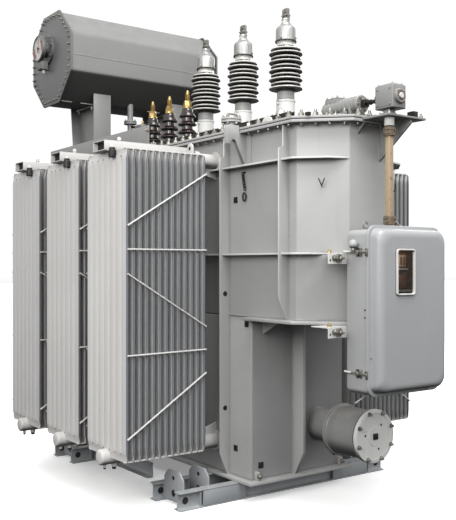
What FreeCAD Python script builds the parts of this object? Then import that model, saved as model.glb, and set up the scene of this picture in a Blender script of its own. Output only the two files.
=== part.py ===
import FreeCAD, Part
import Sketcher
import os
import re

# Oil-filled power transformer with an on-load tap changer, built up from its skid.
# Millimetres. +X runs along the tank to the tap-changer end, +Y to the far radiators,
# +Z up. The origin is on the ground, under the middle of the whole transformer.

doc = FreeCAD.newDocument("PowerTransformer")

# ---------------------------------------------------------------- driving sizes
SIZES = (
    ("beam_tall", 110, "height of a skid beam"),
    ("beam_wide", 68, "flange width of a skid beam"),
    ("beam_flange", 8, "flange thickness"),
    ("beam_web", 6, "web thickness"),
    ("beam_reach", 875, "half length of a skid beam"),
    ("front_beam", 742, "centre of the outermost front beam"),
    ("rear_beam", -1030, "centre of the outermost rear beam"),
    ("beam_gap", 285, "between the two beams of a pair"),
    ("bracket_tall", 206, "top of a wheel bracket plate"),
    ("bracket_thick", 12, "thickness of a wheel bracket plate"),
    ("bracket_outer", 800, "outer bracket plate from the centre line"),
    ("bracket_inner", 614, "inner bracket plate from the centre line"),
    ("tow_side", 590, "tow beam from the centre line"),
    ("tow_end", -20, "front end of a tow beam"),
    ("base_top", 130, "top of the tank's base plate"),
    ("base_over", 50, "overhang of the base plate"),
    ("tank_half", 390, "half width of the tank"),
    ("tank_back", -1130, "rear wall of the tank"),
    ("tank_front", 851, "front wall of the lower tank"),
    ("pocket_low", 1160, "underside of the tap-changer pocket"),
    ("pocket_side", 1280, "where the pocket's corner starts"),
    ("pocket_front", 1498, "front wall of the pocket"),
    ("pocket_half", 172, "half width of the pocket's front wall"),
    ("pocket_over", 65, "overhang of the pocket's floor plate"),
    ("pocket_plate", 20, "thickness of the pocket's floor plate"),
    ("rim_low", 2313, "underside of the tank's rim"),
    ("rim_top", 2331, "top of the tank's rim"),
    ("cover_top", 2350, "top of the cover"),
    ("rim_over", 60, "overhang of the rim and cover"),
    ("rim_turn", 25, "overhang's step at a 45 degree corner"),
    ("bar_thick", 12, "thickness of stiffeners and ribs"),
    ("bar_proud", 77, "how far a stiffener stands out"),
    ("rib_proud", 62, "how far a rib stands out"),
    ("rib_turn", 25.7, "rib's step at a 45 degree corner"),
    ("rib_upper", 2108, "height of the upper rib"),
    ("rib_lower", 1553, "height of the lower rib"),
    ("first_bar", 610, "first side stiffener"),
    ("bar_pitch", 596, "between side stiffeners"),
    ("rad_front", 463, "centre of the front radiator"),
    ("rad_pitch", 632, "between radiators"),
    ("panel_wide", 520, "width of a radiator panel"),
    ("panel_thick", 18, "thickness of a radiator panel"),
    ("panel_pitch", 45, "between radiator panels"),
    ("panel_outer", 1208, "outer face of the outermost panel"),
    ("panel_low", 325, "lower edge of the panels"),
    ("panel_top", 2173, "upper edge of the panels"),
    ("pipe_radius", 48, "radius of a header pipe"),
    ("pipe_low", 322, "height of the lower header"),
    ("pipe_high", 2170, "height of the upper header"),
    ("header_end", 1258, "outer end of the headers"),
    ("channel_wide", 150, "width of an upper header box"),
    ("channel_tall", 62, "height of an upper header box"),
    ("rod_radius", 6, "radius of a brace rod"),
    ("tie_side", 920, "tie plate from the centre line"),
    ("tie_tall", 125, "height of a tie plate"),
    ("tie_thick", 10, "thickness of a tie plate"),
    ("keg_x", -1470, "axis of the oil conservator"),
    ("keg_z", 3200, "height of the conservator's axis"),
    ("keg_half", 365, "half distance across its flats"),
    ("keg_length", 1400, "length of its shell"),
    ("keg_wall", 6, "thickness of its shell"),
    ("keg_lip", 15, "overhang of its end plates"),
    ("keg_plate", 16, "thickness of its end plates"),
    ("keg_leg", 360, "conservator bracket from the centre line"),
    ("leg_wide", 160, "width of a bracket's flange"),
    ("oil_pipe_radius", 25, "radius of the conservator's pipe"),
    ("oil_pipe_y", -60, "pipe's distance from the centre line"),
    ("oil_pipe_front", -940, "pipe's foot on the cover"),
    ("oil_pipe_back", -1300, "pipe's end in the conservator"),
    ("oil_pipe_z", 2560, "height of the pipe's level run"),
    ("hv_y", 200, "high-voltage bushings from the centre line"),
    ("hv_front", 478, "foremost high-voltage bushing"),
    ("hv_pitch", 500, "between high-voltage bushings"),
    ("hv_foot", 2650, "top of a high-voltage turret"),
    ("hv_shed_low", 2722, "lowest high-voltage shed"),
    ("hv_shed_pitch", 30.5, "between high-voltage sheds"),
    ("hv_cap", 3064, "underside of the metal cap"),
    ("lv_y", -220, "low-voltage bushings from the centre line"),
    ("lv_front", -150, "foremost low-voltage bushing"),
    ("lv_pitch", 250, "between low-voltage bushings"),
    ("lv_foot", 2374, "top of a low-voltage flange"),
    ("lv_cap", 2640, "top of the brown porcelain"),
    ("head_x", 1270, "axis of the tap-changer head"),
    ("shaft_x", 1710, "axis of the vertical drive shaft"),
    ("shaft_y", -70, "both drive shafts from the centre line"),
    ("shaft_z", 2430, "height of the horizontal drive shaft"),
    ("gear_front", 1650, "rear face of the bevel gearbox"),
    ("gear_long", 135, "length of the bevel gearbox"),
    ("gear_wide", 110, "width of the bevel gearbox"),
    ("gear_low", 2362, "underside of the bevel gearbox"),
    ("gear_tall", 134, "height of the bevel gearbox"),
    ("platform_z", 2322, "underside of the gearbox platform"),
    ("case_back", 1583, "rear wall of the drive case"),
    ("case_front", 1746, "open front of the drive case"),
    ("case_half", 285, "half width of the drive case"),
    ("case_low", 769, "underside of the drive case"),
    ("case_top", 1682, "top of the drive case"),
    ("case_wall", 4, "thickness of the case and door"),
    ("door_back", 1751, "rear edge of the drive door"),
    ("door_front", 1838, "front face of the drive door"),
    ("door_half", 298, "half width of the drive door"),
    ("door_low", 761, "lower edge of the drive door"),
    ("door_top", 1705, "upper edge of the drive door"),
    ("hinge_x", 1748.5, "axis of the door's hinges along the tank"),
    ("hinge_y", 307, "axis of the door's hinges from the centre line"),
    ("window_low", 1329, "lower edge of the window"),
    ("window_top", 1564, "upper edge of the window"),
    ("window_left", -144, "window's edge by the latches"),
    ("window_wide", 127, "width of the window"),
    ("bar_upper", 1490, "underside of the upper mounting angle"),
    ("bar_lower", 1077, "underside of the lower mounting angle"),
    ("angle_leg", 63, "leg of a mounting angle"),
    ("angle_thick", 8, "thickness of a mounting angle"),
    ("angle_half", 417, "half length of a mounting angle"),
    ("lug_front", 773, "rear face of the front lifting lug"),
    ("lug_rear", -1030, "rear face of the rear lifting lug"),
    ("lug_thick", 30, "thickness of a lifting lug"),
    ("frame_wide", 12, "width of the window's raised frame"),
    ("frame_proud", 12, "how far the window's frame stands out"),
    ("tube_wide", 34, "width of the square drive tube"),
    ("shaft_radius", 12, "radius of the drive shafts' pins"),
    ("shaft_bore", 12.5, "radius of the bores they turn in"),
    ("drum_y", 166, "round oil chamber from the centre line"),
    ("drum_z", 430, "height of the round oil chamber"),
    ("drum_radius", 158, "radius of the round oil chamber"),
)
sheet = doc.addObject("Spreadsheet::Sheet", "Sizes")
for row, (alias, value, note) in enumerate(SIZES, start=1):
    sheet.set(f"A{row}", note)
    sheet.set(f"B{row}", str(value))
    sheet.setAlias(f"B{row}", alias)
doc.recompute()
ALIASES = {alias for alias, value, note in SIZES}

# Counts and places that repeat
RADIATORS = 3
PANELS = 13
HV_BUSHINGS = 3
HV_SHEDS = 10
LV_BUSHINGS = 3
SIDE_BARS = 4
TURN_22 = 22.5


# ---------------------------------------------------------------- small helpers
def formula(text):
    """The text with every sheet alias written as Sizes.alias."""
    return re.sub(r"[a-z][a-z_0-9]*", lambda word: "Sizes." + word.group() if word.group() in ALIASES
                  else word.group(), str(text))


def bind(piece, **properties):
    for name, text in properties.items():
        piece.setExpression(name, formula(text))
    return piece


def place(piece, x=0, y=0, z=0):
    for axis, text in (("x", x), ("y", y), ("z", z)):
        piece.setExpression("Placement.Base." + axis, formula(text))
    return piece


AXIS_TURNS = {
    "x": FreeCAD.Rotation(FreeCAD.Vector(0, 1, 0), 90),
    "y": FreeCAD.Rotation(FreeCAD.Vector(1, 0, 0), -90),
    "z": FreeCAD.Rotation(),
}


def turned(piece, axis):
    piece.Placement = FreeCAD.Placement(FreeCAD.Vector(), AXIS_TURNS[axis])
    return piece


def box(name, x, y, z, long, wide, tall):
    """A block whose lowest corner is at x, y, z."""
    piece = doc.addObject("Part::Box", name)
    bind(piece, Length=long, Width=wide, Height=tall)
    return place(piece, x, y, z)


def block(name, x0, x1, y0, y1, z0, z1):
    """A block between two corners."""
    return box(name, x0, y0, z0, f"({x1}) - ({x0})", f"({y1}) - ({y0})", f"({z1}) - ({z0})")


def rod(name, x, y, z, radius, length, axis="z"):
    piece = turned(doc.addObject("Part::Cylinder", name), axis)
    bind(piece, Radius=radius, Height=length)
    return place(piece, x, y, z)


def cone(name, x, y, z, low_radius, top_radius, length, axis="z"):
    piece = turned(doc.addObject("Part::Cone", name), axis)
    bind(piece, Radius1=low_radius, Radius2=top_radius, Height=length)
    return place(piece, x, y, z)


def ball(name, x, y, z, radius):
    return place(bind(doc.addObject("Part::Sphere", name), Radius=radius), x, y, z)


def octagon(name, x, y, z, half_flats, length):
    """An eight-sided prism along Y with upright flats."""
    piece = doc.addObject("Part::Prism", name)
    piece.Polygon = 8
    piece.Placement = FreeCAD.Placement(
        FreeCAD.Vector(), AXIS_TURNS["y"] * FreeCAD.Rotation(FreeCAD.Vector(0, 0, 1), TURN_22))
    bind(piece, Circumradius=f"({half_flats}) / cos(22.5 deg)", Height=length)
    return place(piece, x, y, z)


def fuse(name, pieces):
    whole = doc.addObject("Part::MultiFuse", name)
    whole.Shapes = pieces
    return whole


def cut(name, base, tool):
    rest = doc.addObject("Part::Cut", name)
    rest.Base = base
    rest.Tool = tool
    return rest


def mirrored(name, source):
    """The same piece on the far side of the centre line."""
    twin = doc.addObject("Part::Mirroring", name)
    twin.Source = source
    twin.Normal = FreeCAD.Vector(0, 1, 0)
    return twin


def both_sides(name, piece):
    return fuse(name, [piece, mirrored(name + "_twin", piece)])


PLANES = {"xy": "XY_Plane", "xz": "XZ_Plane", "yz": "YZ_Plane"}


def plate(name, plane, corners, thick, x=0, y=0, z=0):
    """A body: a sketched outline in one of the origin planes, padded to its thickness.

    The pad goes to +Z on xy, to -Y on xz and to +X on yz, from the place x, y, z.
    Each corner has its two distances from the sketch's origin bound to the sheet.
    """
    body = doc.addObject("PartDesign::Body", name)
    sketch = body.newObject("Sketcher::SketchObject", name + "_outline")
    origin_plane = next(f for f in body.Origin.OriginFeatures if f.Role == PLANES[plane])
    sketch.AttachmentSupport = [(origin_plane, "")]
    sketch.MapMode = "FlatFace"
    count = len(corners)
    start = [FreeCAD.Vector(500, 0, 0)]
    turn = FreeCAD.Rotation(FreeCAD.Vector(0, 0, 1), 360 / count)
    for step in range(count - 1):
        start.append(turn.multVec(start[-1]))
    for step in range(count):
        sketch.addGeometry(Part.LineSegment(start[step], start[(step + 1) % count]))
    for step in range(count):
        sketch.addConstraint(Sketcher.Constraint("Coincident", step, 2, (step + 1) % count, 1))
    for step in range(count):
        for kind, letter in (("DistanceX", "u"), ("DistanceY", "v")):
            sketch.addConstraint(Sketcher.Constraint(kind, -1, 1, step, 1, 0.0))
            sketch.renameConstraint(sketch.ConstraintCount - 1, f"{letter}{step}")
    for step, corner in enumerate(corners):
        for letter, text in zip("uv", corner):
            sketch.setExpression(f"Constraints.{letter}{step}", formula(text))
    doc.recompute()
    pad = body.newObject("PartDesign::Pad", name + "_pad")
    pad.Profile = sketch
    pad.setExpression("Length", formula(thick))
    return place(body, x, y, z)


sub_parts = []


def keep(piece, label):
    """Enter a finished sub-part under the name that its file gets."""
    piece.Label = label
    sub_parts.append(piece)
    return piece


# ---------------------------------------------------------------- skid
def skid_beam(name, centre):
    """One rolled I-beam across the tank."""
    half, web, edge = "beam_wide / 2", "beam_web / 2", "beam_tall - beam_flange"
    right = [(half, "0"), (half, "beam_flange"), (web, "beam_flange"), (web, edge),
             (half, edge), (half, "beam_tall")]
    left = [(f"-({u})", v) for u, v in reversed(right)]
    return plate(name, "xz", right + left, "2 * beam_reach", x=centre, y="beam_reach")


def web_holes(name, centre):
    """The tie-down holes near both ends of a beam's web."""
    across = f"({centre}) - beam_wide / 2"
    near = rod(name + "_near", across, -820, "beam_tall / 2", 22, "beam_wide", "x")
    return both_sides(name, near)


def closing_plates(name, centre, side):
    """Plates that box in the middle stretch of a beam's outward side."""
    start = f"({centre}) + ({side}) * (beam_wide / 2 - beam_web) - beam_web / 2"
    return block(name, start, f"{start} + beam_web", -700, -380, "beam_flange", "beam_tall - beam_flange")


def beam_pair(label, outer, side):
    inner = f"({outer}) - ({side}) * beam_gap"
    beams = []
    for name, centre in (("outer", outer), ("inner", inner)):
        beam = skid_beam(f"{label}_{name}", centre)
        beams.append(cut(f"{label}_{name}_drilled", beam, web_holes(f"{label}_{name}_holes", centre)))
    closing = both_sides(label + "_closing", closing_plates(label + "_closing_near", outer, side))
    return keep(fuse(label + "_pair", beams + [closing]), label)


front_beams = beam_pair("front_skid_beams", "front_beam", 1)
rear_beams = beam_pair("rear_skid_beams", "rear_beam", -1)


def wheel_bracket(name, beam_middle, side):
    """A half-octagon plate between a pair of beams, with an axle hole and a slot."""
    reach = "(beam_gap - beam_wide) / 2"
    low, shoulder, top = "beam_flange + 4", "bracket_tall - 45", "bracket_tall"
    outline = [(f"-{reach}", low), (reach, low), (reach, shoulder), (f"{reach} - 45", top),
               (f"45 - {reach}", top), (f"-{reach}", shoulder)]
    blank = plate(name, "xz", outline, "bracket_thick", x=beam_middle, y=side)
    holes = [rod(name + "_axle", beam_middle, f"({side}) - bracket_thick", 160, 13, "bracket_thick", "y"),
             rod(name + "_low", beam_middle, f"({side}) - bracket_thick", 66, 22, "bracket_thick", "y")]
    return cut(name + "_drilled", blank, fuse(name + "_holes", holes))


brackets = []
for place_name, middle in (("front", "front_beam - beam_gap / 2"), ("rear", "rear_beam + beam_gap / 2")):
    for side_name, distance in (("outer", "-bracket_outer"), ("inner", "-bracket_inner")):
        brackets.append(wheel_bracket(f"bracket_{place_name}_{side_name}", middle, distance))
keep(both_sides("wheel_bracket_set", fuse("near_brackets", brackets)), "wheel_brackets")

TOW_OUTLINE = [("0", "0"), ("-50", "0"), ("-50", "8"), ("-6", "8"), ("-6", "97"), ("-50", "97"),
               ("-50", "105"), ("0", "105")]
tow_beam = plate("tow_beam", "yz", TOW_OUTLINE, "tow_end - rear_beam - beam_gap - beam_wide / 2",
                 x="rear_beam + beam_gap + beam_wide / 2", y="-tow_side")
tow_slot = rod("tow_slot", "tow_end - 90", "-tow_side - 50", 52, 24, 60, "y")
keep(both_sides("tow_beam_pair", cut("tow_beam_slotted", tow_beam, tow_slot)), "tow_beams")

# ---------------------------------------------------------------- tank
keep(block("base_plate", "tank_back - base_over", "tank_front + base_over", "-tank_half - base_over",
           "tank_half + base_over", "beam_tall", "base_top"), "tank_base_plate")


def tank_outline(over="0", turn="0"):
    """Plan of the upper tank with its chamfered tap-changer pocket, grown by an overhang."""
    side, front = f"tank_half + {over}", f"pocket_front + {over}"
    start, half = f"pocket_side + {turn}", f"pocket_half + {turn}"
    return [(f"tank_back - {over}", f"-({side})"), (start, f"-({side})"), (front, f"-({half})"),
            (front, half), (start, side), (f"tank_back - {over}", side)]


lower_tank = block("lower_tank", "tank_back", "tank_front", "-tank_half", "tank_half", "base_top", "pocket_low")
upper_tank = plate("upper_tank", "xy", tank_outline(), "rim_top - pocket_low", z="pocket_low")
tank = keep(fuse("tank_walls", [lower_tank, upper_tank]), "tank_body")

floor_outline = [("tank_front", "-tank_half - pocket_over"), ("pocket_side + rib_turn", "-tank_half - pocket_over"),
                 ("pocket_front + pocket_over", "-pocket_half - rib_turn"),
                 ("pocket_front + pocket_over", "pocket_half + rib_turn"),
                 ("pocket_side + rib_turn", "tank_half + pocket_over"), ("tank_front", "tank_half + pocket_over")]
keep(plate("pocket_shelf", "xy", floor_outline, "pocket_plate", z="pocket_low - pocket_plate"), "pocket_floor")

rim_blank = plate("rim_blank", "xy", tank_outline("rim_over", "rim_turn"), "rim_top - rim_low", z="rim_low")
keep(cut("rim_ring", rim_blank, tank), "tank_rim")
keep(plate("cover_blank", "xy", tank_outline("rim_over", "rim_turn"), "cover_top - rim_top", z="rim_top"),
     "tank_cover")

FOOT_RISE = 140
NECK_DROP = 125
NECK_PROUD = 45


def stiffener_profile(wall, foot):
    """Side view of a stiffener: bevelled foot, full depth, and a narrower neck under the rim."""
    edge = f"{wall} - bar_proud"
    return [(wall, foot), (f"{wall} - 20", foot), (edge, f"{foot} + {FOOT_RISE}"),
            (edge, f"rim_low - {NECK_DROP} - 20"), (f"{wall} - {NECK_PROUD}", f"rim_low - {NECK_DROP}"),
            (f"{wall} - {NECK_PROUD}", "rim_low"), (wall, "rim_low")]


near_bars = []
for number in range(SIDE_BARS):
    foot = "pocket_low" if number == 0 else "base_top"
    near_bars.append(plate(f"side_bar_{number + 1}", "yz", stiffener_profile("-tank_half", foot), "bar_thick",
                           x=f"first_bar + ({1 - number}) * bar_pitch - bar_thick / 2"))
near_set = keep(fuse("near_bar_set", near_bars), "near_stiffeners")
far_set = keep(mirrored("far_bar_set", near_set), "far_stiffeners")

end_profile = [("tank_front", "base_top"), ("tank_front + 20", "base_top"), ("tank_front + 100", "base_top + 150"),
               ("tank_front + 100", "pocket_low - pocket_plate"), ("tank_front", "pocket_low - pocket_plate")]
end_set = keep(fuse("end_bar_set", [
    plate("front_bar", "xz", end_profile, "bar_thick", y="40 + bar_thick / 2"),
    plate("rear_bar", "xz", stiffener_profile("tank_back", "base_top"), "bar_thick", y="bar_thick / 2")]),
    "end_stiffeners")

side_bars = fuse("all_bars", [near_set, far_set, end_set])


def side_rib(name, height, chamfer_part):
    """A rib along the near wall and the rear wall that tapers out along the front corner."""
    edge, back = "-tank_half - rib_proud", "tank_back - rib_proud"
    run = f"(pocket_front - pocket_side) * {chamfer_part}"
    lead = f"{run} * 0.7"
    outline = [(back, "0"), (back, edge), ("pocket_side + rib_turn", edge),
               (f"pocket_side + rib_turn + {lead}", f"{edge} + {lead}"),
               (f"pocket_side + {run}", f"-tank_half + {run}"), ("pocket_side", "-tank_half"),
               ("tank_back", "-tank_half"), ("tank_back", "0")]
    return plate(name, "xy", outline, "bar_thick", z=f"{height} - bar_thick / 2")


near_ribs = fuse("near_rib_pair", [side_rib("upper_rib", "rib_upper", 1), side_rib("lower_rib", "rib_lower", 0.5)])
rib_ring = keep(cut("rib_set", both_sides("rib_blanks", near_ribs), side_bars), "tank_ribs")

# How far each corner of a hook plate stands out from the wall and above the rim's underside
LUG_CORNERS = ((0, -199), (15, -199), (82, -65), (90, -49), (107, -42), (124, -49), (132, -72), (159, -72), (159, 27),
               (140, 49), (62, 49), (62, 0), (0, 0))
lug_outline = [(f"-tank_half - {out}", f"rim_low + {up}") for out, up in LUG_CORNERS]
lugs = fuse("near_lugs", [plate(name + "_plate", "yz", lug_outline, "lug_thick", x=name)
                          for name in ("lug_front", "lug_rear")])
keep(both_sides("lug_set", lugs), "lifting_lugs")

fittings = []
for name, along, across, rise in (("filler", 580, -350, 70), ("vent", 907, -200, 40), ("hatch", 760, 230, 40)):
    fittings += [rod(name + "_stub", along, across, "cover_top", 45, rise),
                 rod(name + "_flange", along, across, f"cover_top + {rise}", 68, 14),
                 rod(name + "_lid", along, across, f"cover_top + {rise} + 14", 68, 16)]
keep(fuse("fitting_set", fittings), "cover_fittings")


# ---------------------------------------------------------------- radiators
inner_face = f"({PANELS - 1} * panel_pitch + panel_thick - panel_outer)"


def radiator(number):
    """Pressed panels side by side, welded to a header pipe below and a box header above."""
    centre = f"rad_front - ({number}) * rad_pitch"
    panels = [box(f"panel_{number + 1}_{step + 1}", f"{centre} - panel_wide / 2",
                  f"{step} * panel_pitch - panel_outer", "panel_low", "panel_wide", "panel_thick",
                  "panel_top - panel_low") for step in range(PANELS)]
    lower = rod(f"lower_header_{number + 1}", centre, "-header_end", "pipe_low", "pipe_radius",
                f"header_end + {inner_face}", "y")
    header = block(f"header_box_{number + 1}", f"{centre} - channel_wide / 2", f"{centre} + channel_wide / 2",
                   "-header_end", inner_face, "panel_top", "panel_top + channel_tall")
    return fuse(f"radiator_{number + 1}", panels + [lower, header])


def header_pipes(number):
    """The two pipes that join a radiator's headers to the tank wall."""
    return [rod(f"{level}_{number + 1}", f"rad_front - ({number}) * rad_pitch", inner_face, level, "pipe_radius",
                f"-tank_half - {inner_face}", "y") for level in ("pipe_low", "pipe_high")]


rods_behind_panels = f"{PANELS - 1} * panel_pitch + panel_thick"
ROD_LEVELS = ((1715, 2050), (1577, 1577), (1434, 1103), (955, 962), (465, 818))


def brace_rods(number):
    """Rods welded across both edges of a radiator's panels; some slope up, some down."""
    bars = []
    for side in (-1, 1):
        along = f"rad_front - ({number}) * rad_pitch + ({side}) * (panel_wide / 2 + rod_radius)"
        for step, (outer, inner) in enumerate(ROD_LEVELS):
            corners = [("-panel_outer", f"{outer} - rod_radius"), (f"{rods_behind_panels} - panel_outer",
                       f"{inner} - rod_radius"), (f"{rods_behind_panels} - panel_outer", f"{inner} + rod_radius"),
                       ("-panel_outer", f"{outer} + rod_radius")]
            bars.append(plate(f"rod_{number + 1}_{side + 1}_{step + 1}", "yz", corners, "2 * rod_radius",
                              x=f"{along} - rod_radius"))
    return bars


near_rods = []
near_pipes = []
for number in range(RADIATORS):
    near = keep(radiator(number), f"near_radiator_{number + 1}")
    keep(mirrored(f"far_rad_{number + 1}", near), f"far_radiator_{number + 1}")
    near_rods += brace_rods(number)
    near_pipes += header_pipes(number)
near_rod_set = keep(fuse("near_rod_set", near_rods), "near_brace_rods")
keep(mirrored("far_rod_set", near_rod_set), "far_brace_rods")
near_pipe_set = keep(fuse("near_pipe_set", near_pipes), "near_header_pipes")
keep(mirrored("far_pipe_set", near_pipe_set), "far_header_pipes")

tie_plate = block("tie_plate", "rad_front - 2 * rad_pitch - 200", "rad_front + 20", "-tie_side - tie_thick / 2",
                  "-tie_side + tie_thick / 2", "panel_top + channel_tall", "panel_top + channel_tall + tie_tall")
keep(both_sides("tie_plate_pair", tie_plate), "tie_plates")

# ---------------------------------------------------------------- oil conservator
keg_start = "-keg_length / 2"
keg_outside = octagon("keg_outside", "keg_x", keg_start, "keg_z", "keg_half", "keg_length")
keg_inside = octagon("keg_inside", "keg_x", keg_start, "keg_z", "keg_half - keg_wall", "keg_length")
keep(cut("keg_shell", keg_outside, keg_inside), "conservator_shell")
keep(octagon("keg_near", "keg_x", "-keg_length / 2 - keg_plate", "keg_z", "keg_half + keg_lip", "keg_plate"),
     "conservator_near_end")
keep(octagon("keg_far", "keg_x", "keg_length / 2", "keg_z", "keg_half + keg_lip", "keg_plate"),
     "conservator_far_end")

GAUGE_X, GAUGE_Z = "keg_x - 60", "keg_z + 90"
gauge_face = "-keg_length / 2 - keg_plate"
keep(fuse("gauge_set", [
    rod("gauge_flange", GAUGE_X, f"{gauge_face} - 18", GAUGE_Z, 125, 18, "y"),
    rod("gauge_neck", GAUGE_X, f"{gauge_face} - 60", GAUGE_Z, 60, 42, "y"),
    rod("gauge_dial", GAUGE_X, f"{gauge_face} - 95", GAUGE_Z, 108, 35, "y")]), "oil_gauge")

side_bottom = "keg_half * tan(22.5 deg)"      # half of one flat
keg_low = "keg_z - keg_half"
leg_front, leg_back = "keg_x + 220", "keg_x - 210"
web_outline = [
    ("tank_back", "1620"), ("tank_back", "rim_low - 12"), ("tank_back - rim_over - 15", "rim_low - 12"),
    ("tank_back - rim_over - 15", "cover_top + 40"), (leg_front, "cover_top + 40"),
    (leg_front, f"{keg_low} + 220 - {side_bottom}"), (f"keg_x + {side_bottom}", keg_low),
    (f"keg_x - {side_bottom}", keg_low), (leg_back, f"{keg_low} + 210 - {side_bottom}"),
    ("keg_x - 140", "cover_top"), ("tank_back - 20", "1620")]
back_flange = [
    (leg_back, f"{keg_low} + 210 - {side_bottom}"), (f"{leg_back} - 12", f"{keg_low} + 222 - {side_bottom}"),
    ("keg_x - 152", "cover_top"), ("tank_back - 32", "1620"), ("tank_back - 20", "1620"),
    ("keg_x - 140", "cover_top")]
front_flange = [
    (leg_front, "cover_top + 40"), (f"{leg_front} + 12", "cover_top + 40"),
    (f"{leg_front} + 12", f"{keg_low} + 232 - {side_bottom}"), (leg_front, f"{keg_low} + 220 - {side_bottom}")]
leg = fuse("near_leg", [
    plate("leg_web", "xz", web_outline, "bar_thick", y="bar_thick / 2 - keg_leg"),
    plate("leg_back_flange", "xz", back_flange, "leg_wide", y="leg_wide / 2 - keg_leg"),
    plate("leg_front_flange", "xz", front_flange, "leg_wide", y="leg_wide / 2 - keg_leg")])
legs = both_sides("leg_pair", leg)
keep(cut("leg_set", legs, rib_ring), "conservator_brackets")

pipe_top = f"{keg_low} + (oil_pipe_back - keg_x) - {side_bottom}"
oil_pipe = keep(cut("pipe_set", fuse("pipe_runs", [
    rod("pipe_foot", "oil_pipe_front", "oil_pipe_y", "cover_top", "oil_pipe_radius + 30", 16),
    rod("pipe_rise", "oil_pipe_front", "oil_pipe_y", "cover_top", "oil_pipe_radius", "oil_pipe_z - cover_top"),
    ball("pipe_elbow", "oil_pipe_front", "oil_pipe_y", "oil_pipe_z", "oil_pipe_radius"),
    rod("pipe_level", "oil_pipe_back", "oil_pipe_y", "oil_pipe_z", "oil_pipe_radius",
        "oil_pipe_front - oil_pipe_back", "x"),
    ball("pipe_turn", "oil_pipe_back", "oil_pipe_y", "oil_pipe_z", "oil_pipe_radius"),
    rod("pipe_up", "oil_pipe_back", "oil_pipe_y", "oil_pipe_z", "oil_pipe_radius",
        f"{pipe_top} + oil_pipe_radius - oil_pipe_z")]), keg_outside), "oil_pipe")
relay_blank = fuse("relay_blank", [
    box("relay_box", "oil_pipe_front - 200", "oil_pipe_y - 55", "oil_pipe_z - 55", 110, 110, 130),
    rod("relay_front", "oil_pipe_front - 80", "oil_pipe_y", "oil_pipe_z", 60, 14, "x"),
    rod("relay_neck", "oil_pipe_front - 90", "oil_pipe_y", "oil_pipe_z", 38, 10, "x"),
    rod("relay_rear", "oil_pipe_front - 224", "oil_pipe_y", "oil_pipe_z", 60, 14, "x"),
    rod("relay_rear_neck", "oil_pipe_front - 210", "oil_pipe_y", "oil_pipe_z", 38, 10, "x"),
    rod("relay_valve", "oil_pipe_front - 300", "oil_pipe_y", "oil_pipe_z", 60, 30, "x")])
keep(cut("relay_set", relay_blank, oil_pipe), "gas_relay")


# ---------------------------------------------------------------- bushings
def hv_place(number):
    return f"hv_front - ({number}) * hv_pitch"


def hv_insulator(number):
    """Grey porcelain: a core with wide and narrow sheds by turns."""
    along = hv_place(number)
    solids = [rod(f"hv_core_{number + 1}", along, "hv_y", "hv_foot", 61, "hv_cap - hv_foot")]
    for step in range(HV_SHEDS):
        reach = 120 if step % 2 == 0 else 107
        solids.append(cone(f"hv_shed_{number + 1}_{step + 1}", along, "hv_y",
                           f"hv_shed_low + {step} * hv_shed_pitch", reach, 62, 20))
    return fuse(f"hv_stack_{number + 1}", solids)


turrets = []
terminals = []
for number in range(HV_BUSHINGS):
    along = hv_place(number)
    turrets += [rod(f"turret_flange_{number + 1}", along, "hv_y", "cover_top", 115, 18),
                rod(f"turret_tube_{number + 1}", along, "hv_y", "cover_top", 67, "hv_foot - cover_top - 18"),
                rod(f"turret_head_{number + 1}", along, "hv_y", "hv_foot - 18", 70, 18)]
    keep(hv_insulator(number), f"hv_insulator_{number + 1}")
    terminals += [rod(f"hv_cap_{number + 1}", along, "hv_y", "hv_cap", 73, 96),
                  cone(f"hv_cone_{number + 1}", along, "hv_y", "hv_cap + 96", 73, 40, 22),
                  rod(f"hv_stud_{number + 1}", along, "hv_y", "hv_cap + 118", 24, 45),
                  cut(f"hv_ears_{number + 1}", box(f"hv_ear_blank_{number + 1}", f"{along} - 32", "hv_y - 8",
                                                   "hv_cap + 163", 64, 16, 72),
                      rod(f"hv_ear_hole_{number + 1}", along, "hv_y - 8", "hv_cap + 205", 7, 16, "y"))]
keep(fuse("turret_set", turrets), "hv_turrets")
keep(fuse("hv_terminal_set", terminals), "hv_terminals")

flanges = []
tips = []
for number in range(LV_BUSHINGS):
    along = f"lv_front - ({number}) * lv_pitch"
    flanges.append(rod(f"lv_flange_{number + 1}", along, "lv_y", "cover_top", 80, "lv_foot - cover_top"))
    solids = [rod(f"lv_core_{number + 1}", along, "lv_y", "lv_foot", 40, "lv_cap - lv_foot")]
    for step in range(4):
        solids.append(cone(f"lv_shed_{number + 1}_{step + 1}", along, "lv_y", f"lv_foot + 20 + {step} * 66",
                           70, 41, 26))
    keep(fuse(f"lv_stack_{number + 1}", solids), f"lv_insulator_{number + 1}")
    tips += [rod(f"lv_ring_{number + 1}", along, "lv_y", "lv_cap", 34, 16),
             cone(f"lv_cone_{number + 1}", along, "lv_y", "lv_cap + 16", 32, 20, 36),
             rod(f"lv_stud_{number + 1}", along, "lv_y", "lv_cap + 52", 18, 50),
             cone(f"lv_tip_{number + 1}", along, "lv_y", "lv_cap + 102", 13, 7, 35)]
keep(fuse("lv_flange_set", flanges), "lv_flanges")
keep(fuse("lv_tip_set", tips), "lv_terminals")

# ---------------------------------------------------------------- tap changer and its drive
head = fuse("head_set", [
    rod("head_flange", "head_x", 0, "cover_top", 190, 24),
    rod("head_dome", "head_x", 0, "cover_top + 24", 150, 20),
    rod("head_drum", 1200, "shaft_y", "shaft_z", 54, 300, "x"),
    block("head_hatch", 1215, 1330, "shaft_y - 40", "shaft_y + 40", "shaft_z + 30", "shaft_z + 66")])
head_bore = rod("head_bore", 1485, "shaft_y", "shaft_z", "shaft_bore", 20, "x")
keep(cut("head_bored", head, head_bore), "tap_changer_head")

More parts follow.
